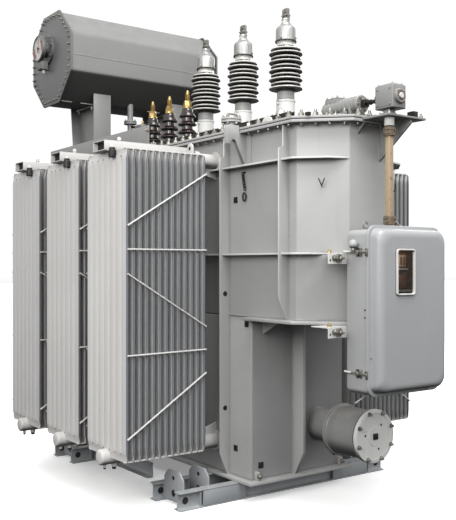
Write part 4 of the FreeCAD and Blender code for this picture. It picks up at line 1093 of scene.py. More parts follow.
for turn in (NEAR, FAR):
    for start, stop in ((-0.96, 0.5), (0.66, 1.24)):
        for y in (-0.372, -0.398):
            stamp(cover, paint(slab(start, stop, y - 0.0015, y + 0.0015, 2.366, 2.392, 0.0006, 1), 4), turn)
        for k in range(round((stop - start) / 0.045)):
            left = start + k * 0.045
            rung = slab(left, left + 0.008, -0.398, -0.372, 2.37, 2.374, 0.0006, 1)
            stamp(cover, paint(rung, 4), turn)
        for k in range(round((stop - start) / 0.36) + 1):
            left = start + k * 0.35
            foot = slab(left, left + 0.03, -0.396, -0.374, COVER_TOP, 2.367, 0.001, 1)
            stamp(cover, paint(foot, 4), turn)
piece("cover", cover, [tank_paint, rubber, zinc, trim_paint, black_steel], "tank_cover")


def rounded(corners, radius, steps=5):
    """An outline with every corner rounded."""
    points = []
    count = len(corners)
    for k in range(count):
        before, corner, after = (Vector(corners[(k + d) % count]) for d in (-1, 0, 1))
        reach = min(radius, (before - corner).length * 0.48, (after - corner).length * 0.48)
        start = corner + (before - corner).normalized() * reach
        end = corner + (after - corner).normalized() * reach
        for i in range(steps + 1):
            t = i / steps
            points.append(tuple(start.lerp(corner, t).lerp(corner.lerp(end, t), t)))
    return points


def lifting_lug(x):
    """A hook plate across the wall, its notch open downward for the sling, on a doubling pad."""
    hook = [(-0.388, 2.114), (-0.405, 2.114), (-0.47, 2.244), (-0.476, 2.258), (-0.486, 2.268),
        (-0.497, 2.2715), (-0.508, 2.268), (-0.517, 2.258), (-0.522, 2.241), (-0.549, 2.241),
        (-0.549, 2.338), (-0.546, 2.35), (-0.538, 2.358), (-0.528, 2.362), (-0.452, 2.362), (-0.452, 2.312),
        (-0.388, 2.312)]
    shape = endwise(hook, x - 0.015, x + 0.015, 0.003, 2)
    stamp(shape, slab(x - 0.06, x + 0.06, -0.398, -0.388, 2.124, 2.306, 0.003))
    for side in (-1, 1):
        bead(shape, (x + side * 0.0165, -0.399, 2.118), (x + side * 0.0165, -0.399, 2.31))
        bead(shape, (x + side * 0.0165, -0.405, 2.31), (x + side * 0.0165, -0.448, 2.31))
        bead(shape, (x + side * 0.0605, -0.391, 2.126), (x + side * 0.0605, -0.391, 2.304), radius=0.003)
    return shape


lugs = bmesh.new()
for x in LUG_X:
    stamp(lugs, lifting_lug(x), NEAR, FAR)
piece("lugs", lugs, [tank_paint, weld_metal], "lifting_lugs")

fittings = bmesh.new()
for x, y, rise in ((0.58, -0.35, 0.03), (0.907, -0.2, 0.0), (0.76, 0.23, 0.0)):
    stamp(fittings, lathe([(0, 0), (0.06, 0), (0.06, 0.006), (0.045, 0.01), (0.045, 0.04 + rise),
        (0.068, 0.04 + rise), (0.068, 0.053 + rise), (0, 0.053 + rise)], 36), at(x, y, COVER_TOP))
    top = COVER_TOP + rise
    fit(fittings, disc(0.062, 0.053, 0.056, 0.0005, 36), 1, x, y, top)
    stamp(fittings, disc(0.068, 0.056, 0.07, 0.002, 36), at(x, y, top))
    scatter(fittings, bolt(0.018, 0.6), round_places(x, y, top + 0.07, "z", 0.055, 6), 2)
    scatter(fittings, bolt(0.018, 0.6), round_places(x, y, top + 0.04, "-z", 0.055, 6), 2)
handle = sweep(bend([(0.58, -0.385, 2.45), (0.58, -0.385, 2.478), (0.58, -0.315, 2.478),
    (0.58, -0.315, 2.45)], 0.012), 0.006, 10)
fit(fittings, handle, 2)
dome = lathe([(0, 0), (0.036, 0), (0.036, 0.02), (0.03, 0.042), (0.018, 0.056), (0, 0.062)], 30)
fit(fittings, dome, 3, 0.907, -0.2, 2.42)
piece("fittings", fittings, [tank_paint, rubber, zinc, cast_cap], "cover_fittings")

extras = bmesh.new()
for k in range(6):
    link = sweep([(u, 0, v) for u, v in arc(0.008, 0.014, 14)], 0.0032, 6)
    stamp(extras, link, Matrix.Translation((0.776 + k * 0.004, -0.405, 2.06 - k * 0.018)) @ Matrix.Rotation(
        k * QUARTER, 4, "Z"))
stamp(extras, sweep([(u, 0, v) for u, v in arc(0.017, 0.026, 22)], 0.0045, 8), at(LUG_X[0], -0.402, 1.918))
stamp(extras, sweep([(0.783, -0.388, 2.074), (0.783, -0.406, 2.07)], 0.006, 8))
for side in (-1, 1):
    fork = bmesh.new()
    for lean in (-0.018, 0.018):
        stamp(fork, sweep(bend([(0, 0.004, 0), (0, -0.028, 0), (lean, -0.034, 0.044)], 0.008), 0.0032, 8))
    stamp(extras, fork, at(1.384, side * 0.286, 1.945, "z", QUARTER + side * QUARTER / 2))
piece("chain_and_pegs", extras, [black_steel])
print("rim, cover, lugs and fittings done")

# %% [markdown]
# Under the tank runs the skid: two pairs of rolled I-beams across, joined by tow beams.
# Rolled sections have fat fillets inside and soft edges outside. Between each pair stand
# the half-octagon brackets for the road wheels, which are taken off for storage.

# %% Skid
def beam_profile(half=0.034, tall=0.11, web=0.004, flange=0.009):
    """The outline of a rolled I-beam, standing on its lower flange."""
    right = [(half, 0), (half, flange * 0.8), (web + 0.012, flange), (web + 0.004, flange + 0.003),
        (web, flange + 0.01), (web, tall - flange - 0.01), (web + 0.004, tall - flange - 0.003),
        (web + 0.012, tall - flange), (half, tall - flange * 0.8), (half, tall)]
    return right + [(-u, v) for u, v in reversed(right)]


def skid_pair(outer, inner, side):
    """Two beams, the boxed-in stretch of the outer one, and end strips."""
    shape = bmesh.new()
    for x in (outer, inner):
        stamp(shape, upright([(x + u, v) for u, v in beam_profile()], -0.875, 0.875, 0.0015, 1))
        for end in (-1, 1):
            stamp(shape, slab(x - 0.03, x + 0.03, -0.003, 0.003, 0.01, 0.1, 0.001, 1), at(0, end * 0.72, 0))
            for face in (-0.0045, 0.0045):
                # each hole in the web is a near-black disc in a ring: painted shade
                fit(shape, disc(0.022, -0.0004, 0.0006, 0.0002, 28), 2, x + face, end * 0.82, 0.055, "x")
                rim_ring = lathe([(0.0218, -0.001), (0.025, -0.001), (0.0245, 0.0016), (0.0218, 0.0012)], 28)
                stamp(shape, rim_ring, at(x + face, end * 0.82, 0.055, "x"))
    x = outer + side * 0.03
    for end in (-1, 1):
        stamp(shape, slab(x - 0.004, x + 0.004, -0.16, 0.16, 0.009, 0.101, 0.002), at(0, end * 0.54, 0))
        for spot in (-0.162, 0.162):
            bead(shape, (x, end * 0.54 + spot, 0.012), (x, end * 0.54 + spot, 0.098))
        for spot in (-0.19, 0.0, 0.19):
            bead(shape, (x + side * 0.005, end * 0.2 + spot, 0.109),
                (x + side * 0.005, end * 0.2 + spot + 0.06, 0.109))
    return shape


skid_finish = [skid_paint, weld_metal, hollow_painted_shade, zinc]
piece("front_beams", skid_pair(0.742, 0.457, 1), skid_finish, "front_skid_beams")
piece("rear_beams", skid_pair(-1.03, -0.745, -1), skid_finish, "rear_skid_beams")

brackets = bmesh.new()
for x in (0.5995, -0.8875):
    plan = rounded([(-0.1085, 0.013), (0.1085, 0.013), (0.1085, 0.161), (0.0635, 0.206), (-0.0635, 0.206),
        (-0.1085, 0.161)], 0.008, 3)
    for side in (-1, 1):
        for y in (side * 0.806, side * 0.62):
            stamp(brackets, upright([(x + u, v) for u, v in plan], -0.006, 0.006, 0.002), at(0, y, 0))
            for face in (-0.0062, 0.0062):
                where = y + face
                # the axle holes are near-black discs: painted shade
                fit(brackets, disc(0.013, -0.0004, 0.0006, 0.0002, 24), 2, x, where, 0.16, "y")
                fit(brackets, disc(0.022, -0.0004, 0.0006, 0.0002, 28), 2, x, where, 0.066, "y")
            for edge in (-0.107, 0.107):
                bead(brackets, (x + edge, y - 0.008, 0.02), (x + edge, y - 0.008, 0.105))
piece("wheel_plates", brackets, skid_finish, "wheel_brackets")

tow = bmesh.new()
channel = [(0, 0), (-0.05, 0), (-0.05, 0.006), (-0.016, 0.009), (-0.008, 0.012), (-0.006, 0.02),
    (-0.006, 0.085), (-0.008, 0.093), (-0.016, 0.096), (-0.05, 0.099), (-0.05, 0.105), (0, 0.105)]
stamp(tow, endwise([(u - 0.59, v) for u, v in channel], -0.711, -0.02, 0.0015, 1))
for face in (-0.0012, -0.005):
    # the hole in the web is a near-black disc: painted shade
    fit(tow, disc(0.024, -0.0004, 0.0014, 0.0002, 28), 2, -0.11, -0.59 + face, 0.052, "y")
for x in (-0.6, -0.4, -0.2):
    scatter(tow, bolt(0.024), [(x, -0.612, 0.105, "z")], 3)
far_tow = stamp(bmesh.new(), tow, keep=True)
stamp(tow, far_tow, FAR)
piece("tow_channels", tow, skid_finish, "tow_beams")
print("skid done")

# %% [markdown]
# The conservator is an eight-sided vessel along Y, folded from plate with one welded
# seam along a flat. Its ends are bolted covers, forty bolts each, and the near one
# carries the magnetic oil gauge: a dial with a needle, its flange and a terminal box.

# %% Conservator
END_FACE = 0.716    # outer face of each end cover, from the middle


def eight(flats):
    """The eight corners of an upright octagon in XZ."""
    r = flats / math.cos(math.pi / 8)
    return [(KEG_X + r * math.cos(math.pi * (k + 0.5) / 4), KEG_Z + r * math.sin(math.pi * (k + 0.5) / 4))
        for k in range(8)]


shell = upright(rounded(eight(FLAT), 0.02, 4), -0.7, 0.7, 0.0)
shell.normal_update()
# faces turned down take the darker underside paint: painted shade on the conservator's belly
for face in shell.faces:
    if face.normal.z < -0.3:
        face.material_index = 2
seam_z = KEG_Z - 0.021
bead(shell, (KEG_X + FLAT + 0.0005, -0.7, seam_z), (KEG_X + FLAT + 0.0005, 0.7, seam_z), radius=0.0035)
bead(shell, (KEG_X - FLAT - 0.0005, -0.7, KEG_Z), (KEG_X - FLAT - 0.0005, 0.7, KEG_Z), radius=0.0035)
for y in (-0.42, 0.42):
    eye = upright(arc(0.04, 0.036, 12, math.pi, (KEG_X, KEG_Z + FLAT + 0.045))
        + [(KEG_X - 0.05, KEG_Z + FLAT - 0.004), (KEG_X + 0.05, KEG_Z + FLAT - 0.004)], -0.008, 0.008, 0.002)
    stamp(shell, eye, at(0, y, -0.066))
    for x in (-0.3, -0.1):
        bead(shell, (KEG_X + 0.152, y + x, KEG_Z - 0.364), (KEG_X + 0.152, y + x + 0.12, KEG_Z - 0.364))
piece("keg_shell", shell, [conservator_paint, weld_metal, keg_underside_painted_shade], "conservator_shell")


def keg_end(side):
    """A bolted end cover with its gasket; side is -1 at the near end."""
    y = side * 0.708
    shape = upright(rounded(eight(FLAT + 0.015), 0.012, 3), y - 0.008, y + 0.008, 0.003)
    inner = side * 0.7005
    fit(shape, upright(rounded(eight(FLAT + 0.011), 0.012, 3), inner - 0.0018, inner + 0.0018, 0.0005, 1), 1)
    spots = along(eight(FLAT - 0.016), 0.062, 0.026)
    axis = "-y" if side < 0 else "y"
    scatter(shape, bolt(0.017, 0.45), [(x, side * END_FACE, z, axis) for x, z in spots], 2)
    return shape


end_finish = [keg_end_paint, rubber, zinc, cast_cap, dial_white, dial_red, ink, glass]
far_end = keg_end(1)
stamp(far_end, lathe([(0, 0), (0.15, 0), (0.15, 0.01), (0.12, 0.012), (0.12, 0.016), (0, 0.016)], 48),
    at(KEG_X, END_FACE, KEG_Z, "y"))
scatter(far_end, bolt(0.015, 0.4), round_places(KEG_X, 0.726, KEG_Z, "y", 0.136, 12), 2)
piece("keg_far_end", far_end, end_finish, "conservator_far_end")
piece("keg_near_end", keg_end(-1), end_finish, "conservator_near_end")

gauge = lathe([(0, 0), (0.125, 0), (0.125, 0.015), (0.122, 0.018), (0.066, 0.018), (0.061, 0.023),
    (0.06, 0.058), (0.1, 0.06), (0.107, 0.064), (0.108, 0.07), (0.108, 0.09), (0.106, 0.094),
    (0.102, 0.0952), (0.097, 0.0945), (0.095, 0.088), (0, 0.088)], 64)
whole = stamp(bmesh.new(), gauge, at(GAUGE[0], -END_FACE, GAUGE[1], "-y"))
scatter(whole, bolt(0.015, 0.5), round_places(GAUGE[0], -0.734, GAUGE[1], "-y", 0.1135, 8, 0.2), 2)
dial = lathe([(0, 0.0885), (0.0945, 0.0885), (0.0945, 0.0895), (0, 0.0895)], 64)
fit(whole, dial, 4, GAUGE[0], -END_FACE, GAUGE[1], "-y")
tilt = math.radians(-20)


def on_dial(radius, angle, lift=0.0):
    """A place on the dial's face at an angle from straight up."""
    return (GAUGE[0] + radius * math.sin(angle + tilt), -END_FACE - 0.0897 - lift,
        GAUGE[1] + radius * math.cos(angle + tilt))


def dial_arc(inner, outer, start, end, index, lift=0.0):
    """A flat band on the dial between two angles."""
    shape = bmesh.new()
    steps = 18
    low, high = [], []
    for k in range(steps + 1):
        angle = start + (end - start) * k / steps
        low.append(shape.verts.new(on_dial(inner, angle, lift)))
        high.append(shape.verts.new(on_dial(outer, angle, lift)))
    for k in range(steps):
        shape.faces.new((low[k], low[k + 1], high[k + 1], high[k]))
    raised = bmesh.ops.extrude_face_region(shape, geom=shape.faces[:])
    moved = [v for v in raised["geom"] if isinstance(v, bmesh.types.BMVert)]
    bmesh.ops.translate(shape, vec=(0, -0.0006, 0), verts=moved)
    return paint(shape, index)


stamp(whole, dial_arc(0.062, 0.084, -2.2, -1.1, 5))
stamp(whole, dial_arc(0.062, 0.084, 1.1, 2.2, 5))
stamp(whole, dial_arc(0.086, 0.0885, -2.3, 2.3, 6))
for k in range(21):
    angle = -2.2 + 4.4 * k / 20
    long = 0.016 if k % 5 == 0 else 0.009
    stamp(whole, dial_arc(0.084 - long, 0.084, angle - 0.012, angle + 0.012, 6, 0.0008))
stamp(whole, dial_arc(0.012, 0.074, 0.46, 0.56, 6, 0.003))
stamp(whole, dial_arc(-0.026, -0.01, 0.3, 0.72, 6, 0.003))
fit(whole, disc(0.012, 0, 0.006, 0.001, 24), 6, GAUGE[0], -0.8057, GAUGE[1], "-y")
for k in (-1, 0, 1):
    stamp(whole, dial_arc(0.03, 0.034, math.pi + k * 0.9 - 0.35, math.pi + k * 0.9 + 0.35, 5, 0.0005))
box_low = GAUGE[1] - 0.175
stamp(whole, slab(GAUGE[0] - 0.04, GAUGE[0] + 0.04, -0.792, -0.73, box_low, box_low + 0.072, 0.006, 3))
stamp(whole, slab(GAUGE[0] - 0.033, GAUGE[0] + 0.033, -0.797, -0.79, box_low + 0.006,
    box_low + 0.066, 0.002))
scatter(whole, screw(0.007), square_places(GAUGE[0], -0.797, box_low + 0.036, "-y", 0.027, 0.024), 2)
gland = lathe([(0, 0), (0.015, 0), (0.015, 0.01), (0.012, 0.012), (0.012, 0.022), (0.008, 0.028),
    (0, 0.028)], 20)
fit(whole, gland, 4, GAUGE[0] + 0.01, -0.76, box_low, "-z")
piece("gauge", whole, end_finish, "oil_gauge")
print("conservator and gauge done")

# %% [markdown]
# Two welded brackets carry the conservator off the rear wall. From there the oil pipe
# drops through a shut-off valve and the gas relay, whose sight glass shows any gas that
# the windings give off, to a foot on the cover.

# %% Brackets, oil pipe and gas relay
LOW, HALF = KEG_Z - FLAT, FLAT * math.tan(math.pi / 8)
front_leg, back_leg = KEG_X + 0.22, KEG_X - 0.21
legs = bmesh.new()
web = [(TANK_BACK, 1.62), (TANK_BACK, 2.301), (TANK_BACK - 0.075, 2.301), (TANK_BACK - 0.075, 2.39),
    (front_leg, 2.39), (front_leg, LOW + 0.22 - HALF), (KEG_X + HALF, LOW), (KEG_X - HALF, LOW),
    (back_leg, LOW + 0.21 - HALF), (KEG_X - 0.14, 2.35), (TANK_BACK - 0.02, 1.62)]
rear = [(back_leg, LOW + 0.21 - HALF), (back_leg - 0.012, LOW + 0.222 - HALF), (KEG_X - 0.152, 2.35),
    (TANK_BACK - 0.032, 1.62), (TANK_BACK - 0.02, 1.62), (KEG_X - 0.14, 2.35)]
front = [(front_leg, 2.39), (front_leg + 0.012, 2.39), (front_leg + 0.012, LOW + 0.232 - HALF),
    (front_leg, LOW + 0.22 - HALF)]
for side in (-1, 1):
    y = side * 0.36
    stamp(legs, upright(web, y - 0.006, y + 0.006, 0.002))
    stamp(legs, upright(rear, y - 0.08, y + 0.08, 0.003))
    stamp(legs, upright(front, y - 0.08, y + 0.08, 0.003))
    foot = slab(KEG_X + HALF - 0.3, KEG_X + HALF - 0.01, y - 0.06, y + 0.06, LOW - 0.016, LOW - 0.002, 0.002)
    stamp(legs, foot)
    scatter(legs, bolt(0.022), [(KEG_X - 0.12, y + s * 0.042, LOW - 0.016, "-z") for s in (-1, 1)]
        + [(KEG_X + 0.12, y + s * 0.042, LOW - 0.016, "-z") for s in (-1, 1)], 2)
    for edge in (-0.0075, 0.0075):
        bead(legs, (TANK_BACK - 0.002, y + edge, 1.625), (TANK_BACK - 0.002, y + edge, 2.1))
        bead(legs, (front_leg - 0.002, y + edge, 2.395), (front_leg - 0.002, y + edge, LOW + 0.06))
piece("keg_legs", legs, [conservator_paint, weld_metal, zinc], "conservator_brackets")

FOOT_X, END_X, RUN_Z, PIPE_Y = -0.94, -1.3, 2.56, centre("oil_pipe", 1)
pipe_top = LOW + (END_X - KEG_X) - HALF + 0.02
oil_line = sweep(bend([(FOOT_X, PIPE_Y, COVER_TOP), (FOOT_X, PIPE_Y, RUN_Z), (END_X, PIPE_Y, RUN_Z),
    (END_X, PIPE_Y, pipe_top)], 0.055, 8), 0.025, 24)
for level in (COVER_TOP, COVER_TOP + 0.014):
    stamp(oil_line, disc(0.055, 0, 0.013, 0.002, 32), at(FOOT_X, PIPE_Y, level))
scatter(oil_line, bolt(0.014, 0.5), round_places(FOOT_X, PIPE_Y, COVER_TOP + 0.027, "z", 0.042, 4, 0.8), 1)
for level in (2.7, 2.716):
    stamp(oil_line, disc(0.055, 0, 0.014, 0.002, 32), at(END_X, PIPE_Y, level))
scatter(oil_line, bolt(0.014, 0.5), round_places(END_X, PIPE_Y, 2.73, "z", 0.042, 4, 0.8), 1)
piece("oil_line", oil_line, [conservator_paint, zinc], "oil_pipe")

relay = slab(-1.14, -1.03, PIPE_Y - 0.055, PIPE_Y + 0.055, 2.505, 2.635, 0.012, 3)
for x in (-1.02, -1.164, -1.24, -1.224):
    stamp(relay, disc(0.06, 0, 0.014, 0.002, 32), at(x, PIPE_Y, RUN_Z, "x"))
stamp(relay, disc(0.042, 0, 0.06, 0.003, 32), at(-1.225, PIPE_Y, RUN_Z, "x"))
stamp(relay, disc(0.038, 0, 0.15, 0.003, 32), at(-1.16, PIPE_Y, RUN_Z, "x"))
for x, axis in ((-1.006, "x"), (-1.164, "-x"), (-1.24, "-x")):
    scatter(relay, bolt(0.013, 0.5), round_places(x, PIPE_Y, RUN_Z, axis, 0.048, 4, 0.8), 1)
for side in (-1, 1):
    stamp(relay, slab(-1.122, -1.048, PIPE_Y + side * 0.0575 - 0.004, PIPE_Y + side * 0.0575 + 0.004,
        2.53, 2.61, 0.003))
    fit(relay, slab(-1.11, -1.06, PIPE_Y + side * 0.0605 - 0.003, PIPE_Y + side * 0.0605 + 0.003, 2.545,
        2.597, 0.002), 2)
stamp(relay, slab(-1.125, -1.045, PIPE_Y - 0.04, PIPE_Y + 0.04, 2.635, 2.668, 0.006))
scatter(relay, screw(0.009), square_places(-1.085, PIPE_Y, 2.668, "z", 0.032, 0.032), 1)
fit(relay, disc(0.009, 0, 0.03, 0.002, 16), 3, -1.085, PIPE_Y, 2.668)
hand_wheel = sweep([(u, v, 0) for u, v in arc(0.038, 0.038, 30)], 0.0055, 8)
for k in range(3):
    a = math.tau * k / 3
    stamp(hand_wheel, sweep([(0, 0, 0), (0.036 * math.cos(a), 0.036 * math.sin(a), 0)], 0.004, 8))
fit(relay, hand_wheel, 4, -1.205, PIPE_Y, RUN_Z + 0.105)
fit(relay, disc(0.009, 0.0, 0.065, 0.002, 16), 1, -1.205, PIPE_Y, RUN_Z + 0.042)
piece("relay", relay, [conservator_paint, zinc, glass, brass, black_steel], "gas_relay")

ties = bmesh.new()
for side in (-1, 1):
    stamp(ties, slab(-1.001, 0.483, -0.005, 0.005, 2.238, 2.363, 0.0025), at(0, side * 0.92, 0))
    for x in RADIATOR_X:
        stamp(ties, slab(x - 0.06, x + 0.06, -0.03, 0.03, BOX_TOP, BOX_TOP + 0.006, 0.001),
            at(0, side * 0.92, 0))
        clamps = [(x + u, s * 0.9, BOX_TOP + 0.006, "z") for s in (-1, 1) for u in (-0.045, 0.045)]
        scatter(ties, bolt(0.016), clamps if side < 0 else [(x, 0.925, 2.3, "y")], 1)
        scatter(ties, bolt(0.02), [(x + 0.02, side * 0.925, 2.33, "-y" if side < 0 else "y")], 1)
piece("tie_bars", ties, [conservator_paint, zinc], "tie_plates")
print("brackets, oil line, relay and ties done")

# %% [markdown]
# A porcelain shed is thrown on a wheel, so it is a lathe profile: a drip edge under the
# rim, a fat rounded lip, and a slope back up to the core for rain to run off. Wide and
# narrow sheds alternate, so that water from one doesn't bridge to the next.

# %% High-voltage bushings
def shed(core, reach, level, thick=0.01, slope=0.013):
    """Profile points of one shed, from the core under it to the core above it."""
    return [(core, level - 0.001), (core + 0.006, level + 0.0035), (reach - 0.02, level + 0.0025),
        (reach - 0.01, level - 0.0005), (reach - 0.004, level), (reach - 0.0008, level + 0.003),
        (reach, level + thick * 0.55), (reach - 0.002, level + thick * 0.85), (reach - 0.007, level + thick),
        (reach * 0.6 + core * 0.4, level + thick + slope * 0.35),
        (core + 0.01, level + thick + slope * 0.75), (core + 0.002, level + thick + slope)]


def hv_porcelain():
    """Ten sheds on a core, between a foot and a neck."""
    profile = [(0, 2.65), (0.06, 2.65), (0.063, 2.654), (0.063, 2.7), (0.061, 2.706)]
    for step in range(10):
        profile += shed(0.061, 0.12 if step % 2 == 0 else 0.107, 2.724 + step * 0.0305, 0.012, 0.012)
    profile += [(0.061, 3.03), (0.061, 3.05), (0.064, 3.0545), (0.066, 3.064), (0, 3.064)]
    shape = lathe(profile, 64)
    # the core between the sheds is painted near-black as painted shade; the foot takes the turret paint
    for face in shape.faces:
        middle = face.calc_center_median()
        if 2.71 < middle.z < 3.03 and middle.xy.length < 0.068:
            face.material_index = 2
        elif middle.z < 2.715:
            face.material_index = 3
    return shape


porcelain_body = hv_porcelain()
turrets, terminals = bmesh.new(), bmesh.new()
for number, x in enumerate(HV_X, start=1):
    body = stamp(bmesh.new(), porcelain_body, at(x, HV_Y, 0, "z", number * 0.7), keep=True)
    ring = paint(lathe([(0.06, 3.058), (0.0755, 3.058), (0.0755, 3.066), (0.06, 3.066)], 48), 1)
    stamp(body, ring, at(x, HV_Y, 0))
    piece(f"hv_porcelain_{number}", body, [grey_porcelain, rubber, porcelain_core_painted_shade, turret_paint],
        f"hv_insulator_{number}")
    tube = lathe([(0, 2.35), (0.115, 2.35), (0.115, 2.366), (0.112, 2.368), (0.079, 2.368), (0.0755, 2.374),
        (0.074, 2.376), (0.06, 2.376)], 56)
    stamp(turrets, tube, at(x, HV_Y, 0))
    fit(turrets, lathe([(0.075, 2.372), (0.069, 2.378), (0.067, 2.386), (0.067, 2.632), (0.069, 2.634),
        (0.0695, 2.646), (0.067, 2.65), (0, 2.65)], 56), 1, x, HV_Y, 0)
    scatter(turrets, bolt(0.02), round_places(x, HV_Y, 2.368, "z", 0.097, 8, 0.2), 2)
    scatter(turrets, bolt(0.01, 0.5), round_places(x, HV_Y, 2.64, "x", 0.0695, 1), 2)
    arm = slab(0.06, 0.082, -0.01, 0.01, 2.615, 2.631, 0.003)
    fit(turrets, arm, 1, x, HV_Y, 0, "z", -QUARTER)
    scatter(turrets, bolt(0.014), [(x, HV_Y - 0.074, 2.631, "z")], 2)
    cap = lathe([(0, 3.064), (0.069, 3.064), (0.073, 3.068), (0.073, 3.074), (0.071, 3.077), (0.071, 3.138),
        (0.07, 3.15), (0.065, 3.16), (0.056, 3.167), (0.042, 3.178), (0.038, 3.184), (0.036, 3.19),
        (0.024, 3.191), (0.024, 3.214), (0.03, 3.215), (0.03, 3.226), (0.024, 3.228), (0, 3.228)], 56)
    stamp(terminals, cap, at(x, HV_Y, 0))
    scatter(terminals, bolt(0.014, 0.3), round_places(x, HV_Y, 3.074, "z", 0.0765, 4, 0.4), 1)
    stamp(terminals, screw(0.052), at(x, HV_Y, 3.19))
    ear_plan = rounded([(-0.032, 3.227), (0.032, 3.227), (0.032, 3.29), (0.024, 3.299), (-0.024, 3.299),
        (-0.032, 3.29)], 0.008)
    fit(terminals, upright([(x + u, v) for u, v in ear_plan], HV_Y - 0.008, HV_Y + 0.008, 0.0015), 2)
    # the ear's hole is a near-black disc: painted shade
    fit(terminals, disc(0.0072, -0.0085, 0.0085, 0.0002, 24), 3, x, HV_Y, 3.269, "y")
    for u in (-0.019, 0.019):
        scatter(terminals, bolt(0.015, 0.5), [(x + u, HV_Y - 0.008, 3.247, "-y"),
            (x + u, HV_Y + 0.008, 3.247, "y")], 1)
    fit(terminals, slab(x - 0.03, x + 0.03, HV_Y - 0.014, HV_Y + 0.014, 3.222, 3.232, 0.004), 2)
porcelain_body.free()
piece("turrets", turrets, [tank_paint, trim_paint, zinc, cast_cap], "hv_turrets")
piece("hv_caps", terminals, [cast_cap, zinc, steel, hollow_painted_shade], "hv_terminals")
print("high-voltage bushings done")

# %% [markdown]
# The low-voltage bushings are short, brown and glossy, clamped by a ring of nuts and
# topped with turned brass: a collar, a hexagon, a threaded stud and a pointed cap.

# %% Low-voltage bushings
profile = [(0, 2.374), (0.058, 2.374), (0.062, 2.378), (0.06, 2.386), (0.046, 2.391), (0.04, 2.393)]
for step in range(4):
    profile += shed(0.04, 0.07 if step < 3 else 0.062, 2.397 + step * 0.06, 0.012, 0.018)
profile += [(0.04, 2.622), (0.038, 2.634), (0.034, 2.64), (0, 2.64)]
brown_body = lathe(profile, 56)
flanges, tips = bmesh.new(), bmesh.new()
for number, x in enumerate(LV_X, start=1):
    body = stamp(bmesh.new(), brown_body, at(x, LV_Y, 0, "z", number * 0.9), keep=True)
    piece(f"lv_porcelain_{number}", body, [brown_porcelain], f"lv_insulator_{number}")
    stamp(flanges, disc(0.08, 2.35, 2.36, 0.002, 48), at(x, LV_Y, 0))
    fit(flanges, disc(0.078, 2.36, 2.363, 0.0005, 48), 1, x, LV_Y, 0)
    stamp(flanges, lathe([(0, 2.363), (0.08, 2.363), (0.08, 2.372), (0.078, 2.374), (0.062, 2.374),
        (0.062, 2.38), (0, 2.38)], 48), at(x, LV_Y, 0))
    scatter(flanges, bolt(0.015, 0.7), round_places(x, LV_Y, 2.374, "z", 0.07, 6, 0.3), 2)
    for k in range(6):
        a = math.tau * k / 6 + 0.3
        fit(flanges, slab(0.05, 0.072, -0.006, 0.006, 2.374, 2.384, 0.002), 3, x, LV_Y, 0, "z", a + 0.5)
    stamp(tips, lathe([(0, 2.64), (0.031, 2.64), (0.034, 2.643), (0.034, 2.653), (0.031, 2.656), (0, 2.656)],
        40), at(x, LV_Y, 0))
    stamp(tips, screw(0.054), at(x, LV_Y, 2.654, "z", number * 0.4))
    stamp(tips, screw(0.048), at(x, LV_Y, 2.672, "z", number * 0.8 + 0.5))
    threads = [(0, 2.692), (0.018, 2.692)]
    for k in range(12):
        z = 2.696 + k * 0.0038
        threads += [(0.018, z), (0.0163, z + 0.0019)]
    threads += [(0.018, 2.742), (0.015, 2.744), (0.013, 2.746), (0.012, 2.76), (0.008, 2.772),
        (0.004, 2.777), (0, 2.777)]
    stamp(tips, lathe(threads, 32), at(x, LV_Y, 0))
brown_body.free()
piece("lv_clamps", flanges, [tank_paint, rubber, zinc, cast_cap], "lv_flanges")
piece("lv_studs", tips, [brass], "lv_terminals")
print("low-voltage bushings done")

# %% [markdown]
# The tap changer hangs inside the pocket; only its head shows, a ribbed drum lying on a
# bolted flange. A dark level shaft runs from it to the bevel gearbox on the platform,
# and a square shaft drops from the gearbox to the motor drive below.

# %% Tap-changer head, gearbox and shafts
head = lathe([(0, 0), (0.19, 0), (0.19, 0.021), (0.187, 0.024), (0.152, 0.024), (0.15, 0.027), (0.15, 0.04),
    (0.145, 0.044), (0.06, 0.05), (0, 0.051)], 72)
whole = stamp(bmesh.new(), head, at(1.27, 0, COVER_TOP))
scatter(whole, bolt(0.02), round_places(1.27, 0, COVER_TOP + 0.024, "z", 0.171, 18), 1)
drum_profile = [(0, 0), (0.048, 0), (0.052, 0.004), (0.054, 0.01), (0.054, 0.02)]
for k in range(7):
    z = 0.03 + k * 0.034
    drum_profile += [(0.05, z), (0.05, z + 0.016), (0.0535, z + 0.018), (0.0535, z + 0.026),
        (0.05, z + 0.028)]
drum_profile += [(0.054, 0.276), (0.054, 0.294), (0.05, 0.299), (0.016, 0.3), (0, 0.3)]
stamp(whole, lathe(drum_profile, 48), at(1.2, SHAFT_Y, SHAFT_Z, "x"))
scatter(whole, bolt(0.012, 0.3), round_places(1.5, SHAFT_Y, SHAFT_Z, "x", 0.04, 6), 1)
scatter(whole, bolt(0.012, 0.3), round_places(1.2, SHAFT_Y, SHAFT_Z, "-x", 0.04, 6), 1)
stamp(whole, slab(1.215, 1.33, SHAFT_Y - 0.04, SHAFT_Y + 0.04, 2.455, 2.488, 0.006, 3))
stamp(whole, slab(1.219, 1.326, SHAFT_Y - 0.036, SHAFT_Y + 0.036, 2.488, 2.496, 0.003))
scatter(whole, bolt(0.011, 0.4), [(1.2725 + u, SHAFT_Y + v, 2.496, "z") for u in (-0.044, 0, 0.044)
    for v in (-0.028, 0.028)], 1)
for x in (1.235, 1.44):
    stamp(whole, slab(x - 0.008, x + 0.008, SHAFT_Y - 0.05, SHAFT_Y + 0.05, 2.372, 2.42, 0.002))
stamp(whole, lathe([(0, 0), (0.02, 0), (0.02, 0.03), (0.026, 0.032), (0.026, 0.046), (0.01, 0.052),
    (0, 0.052)], 24), at(1.33, 0.09, 2.394))
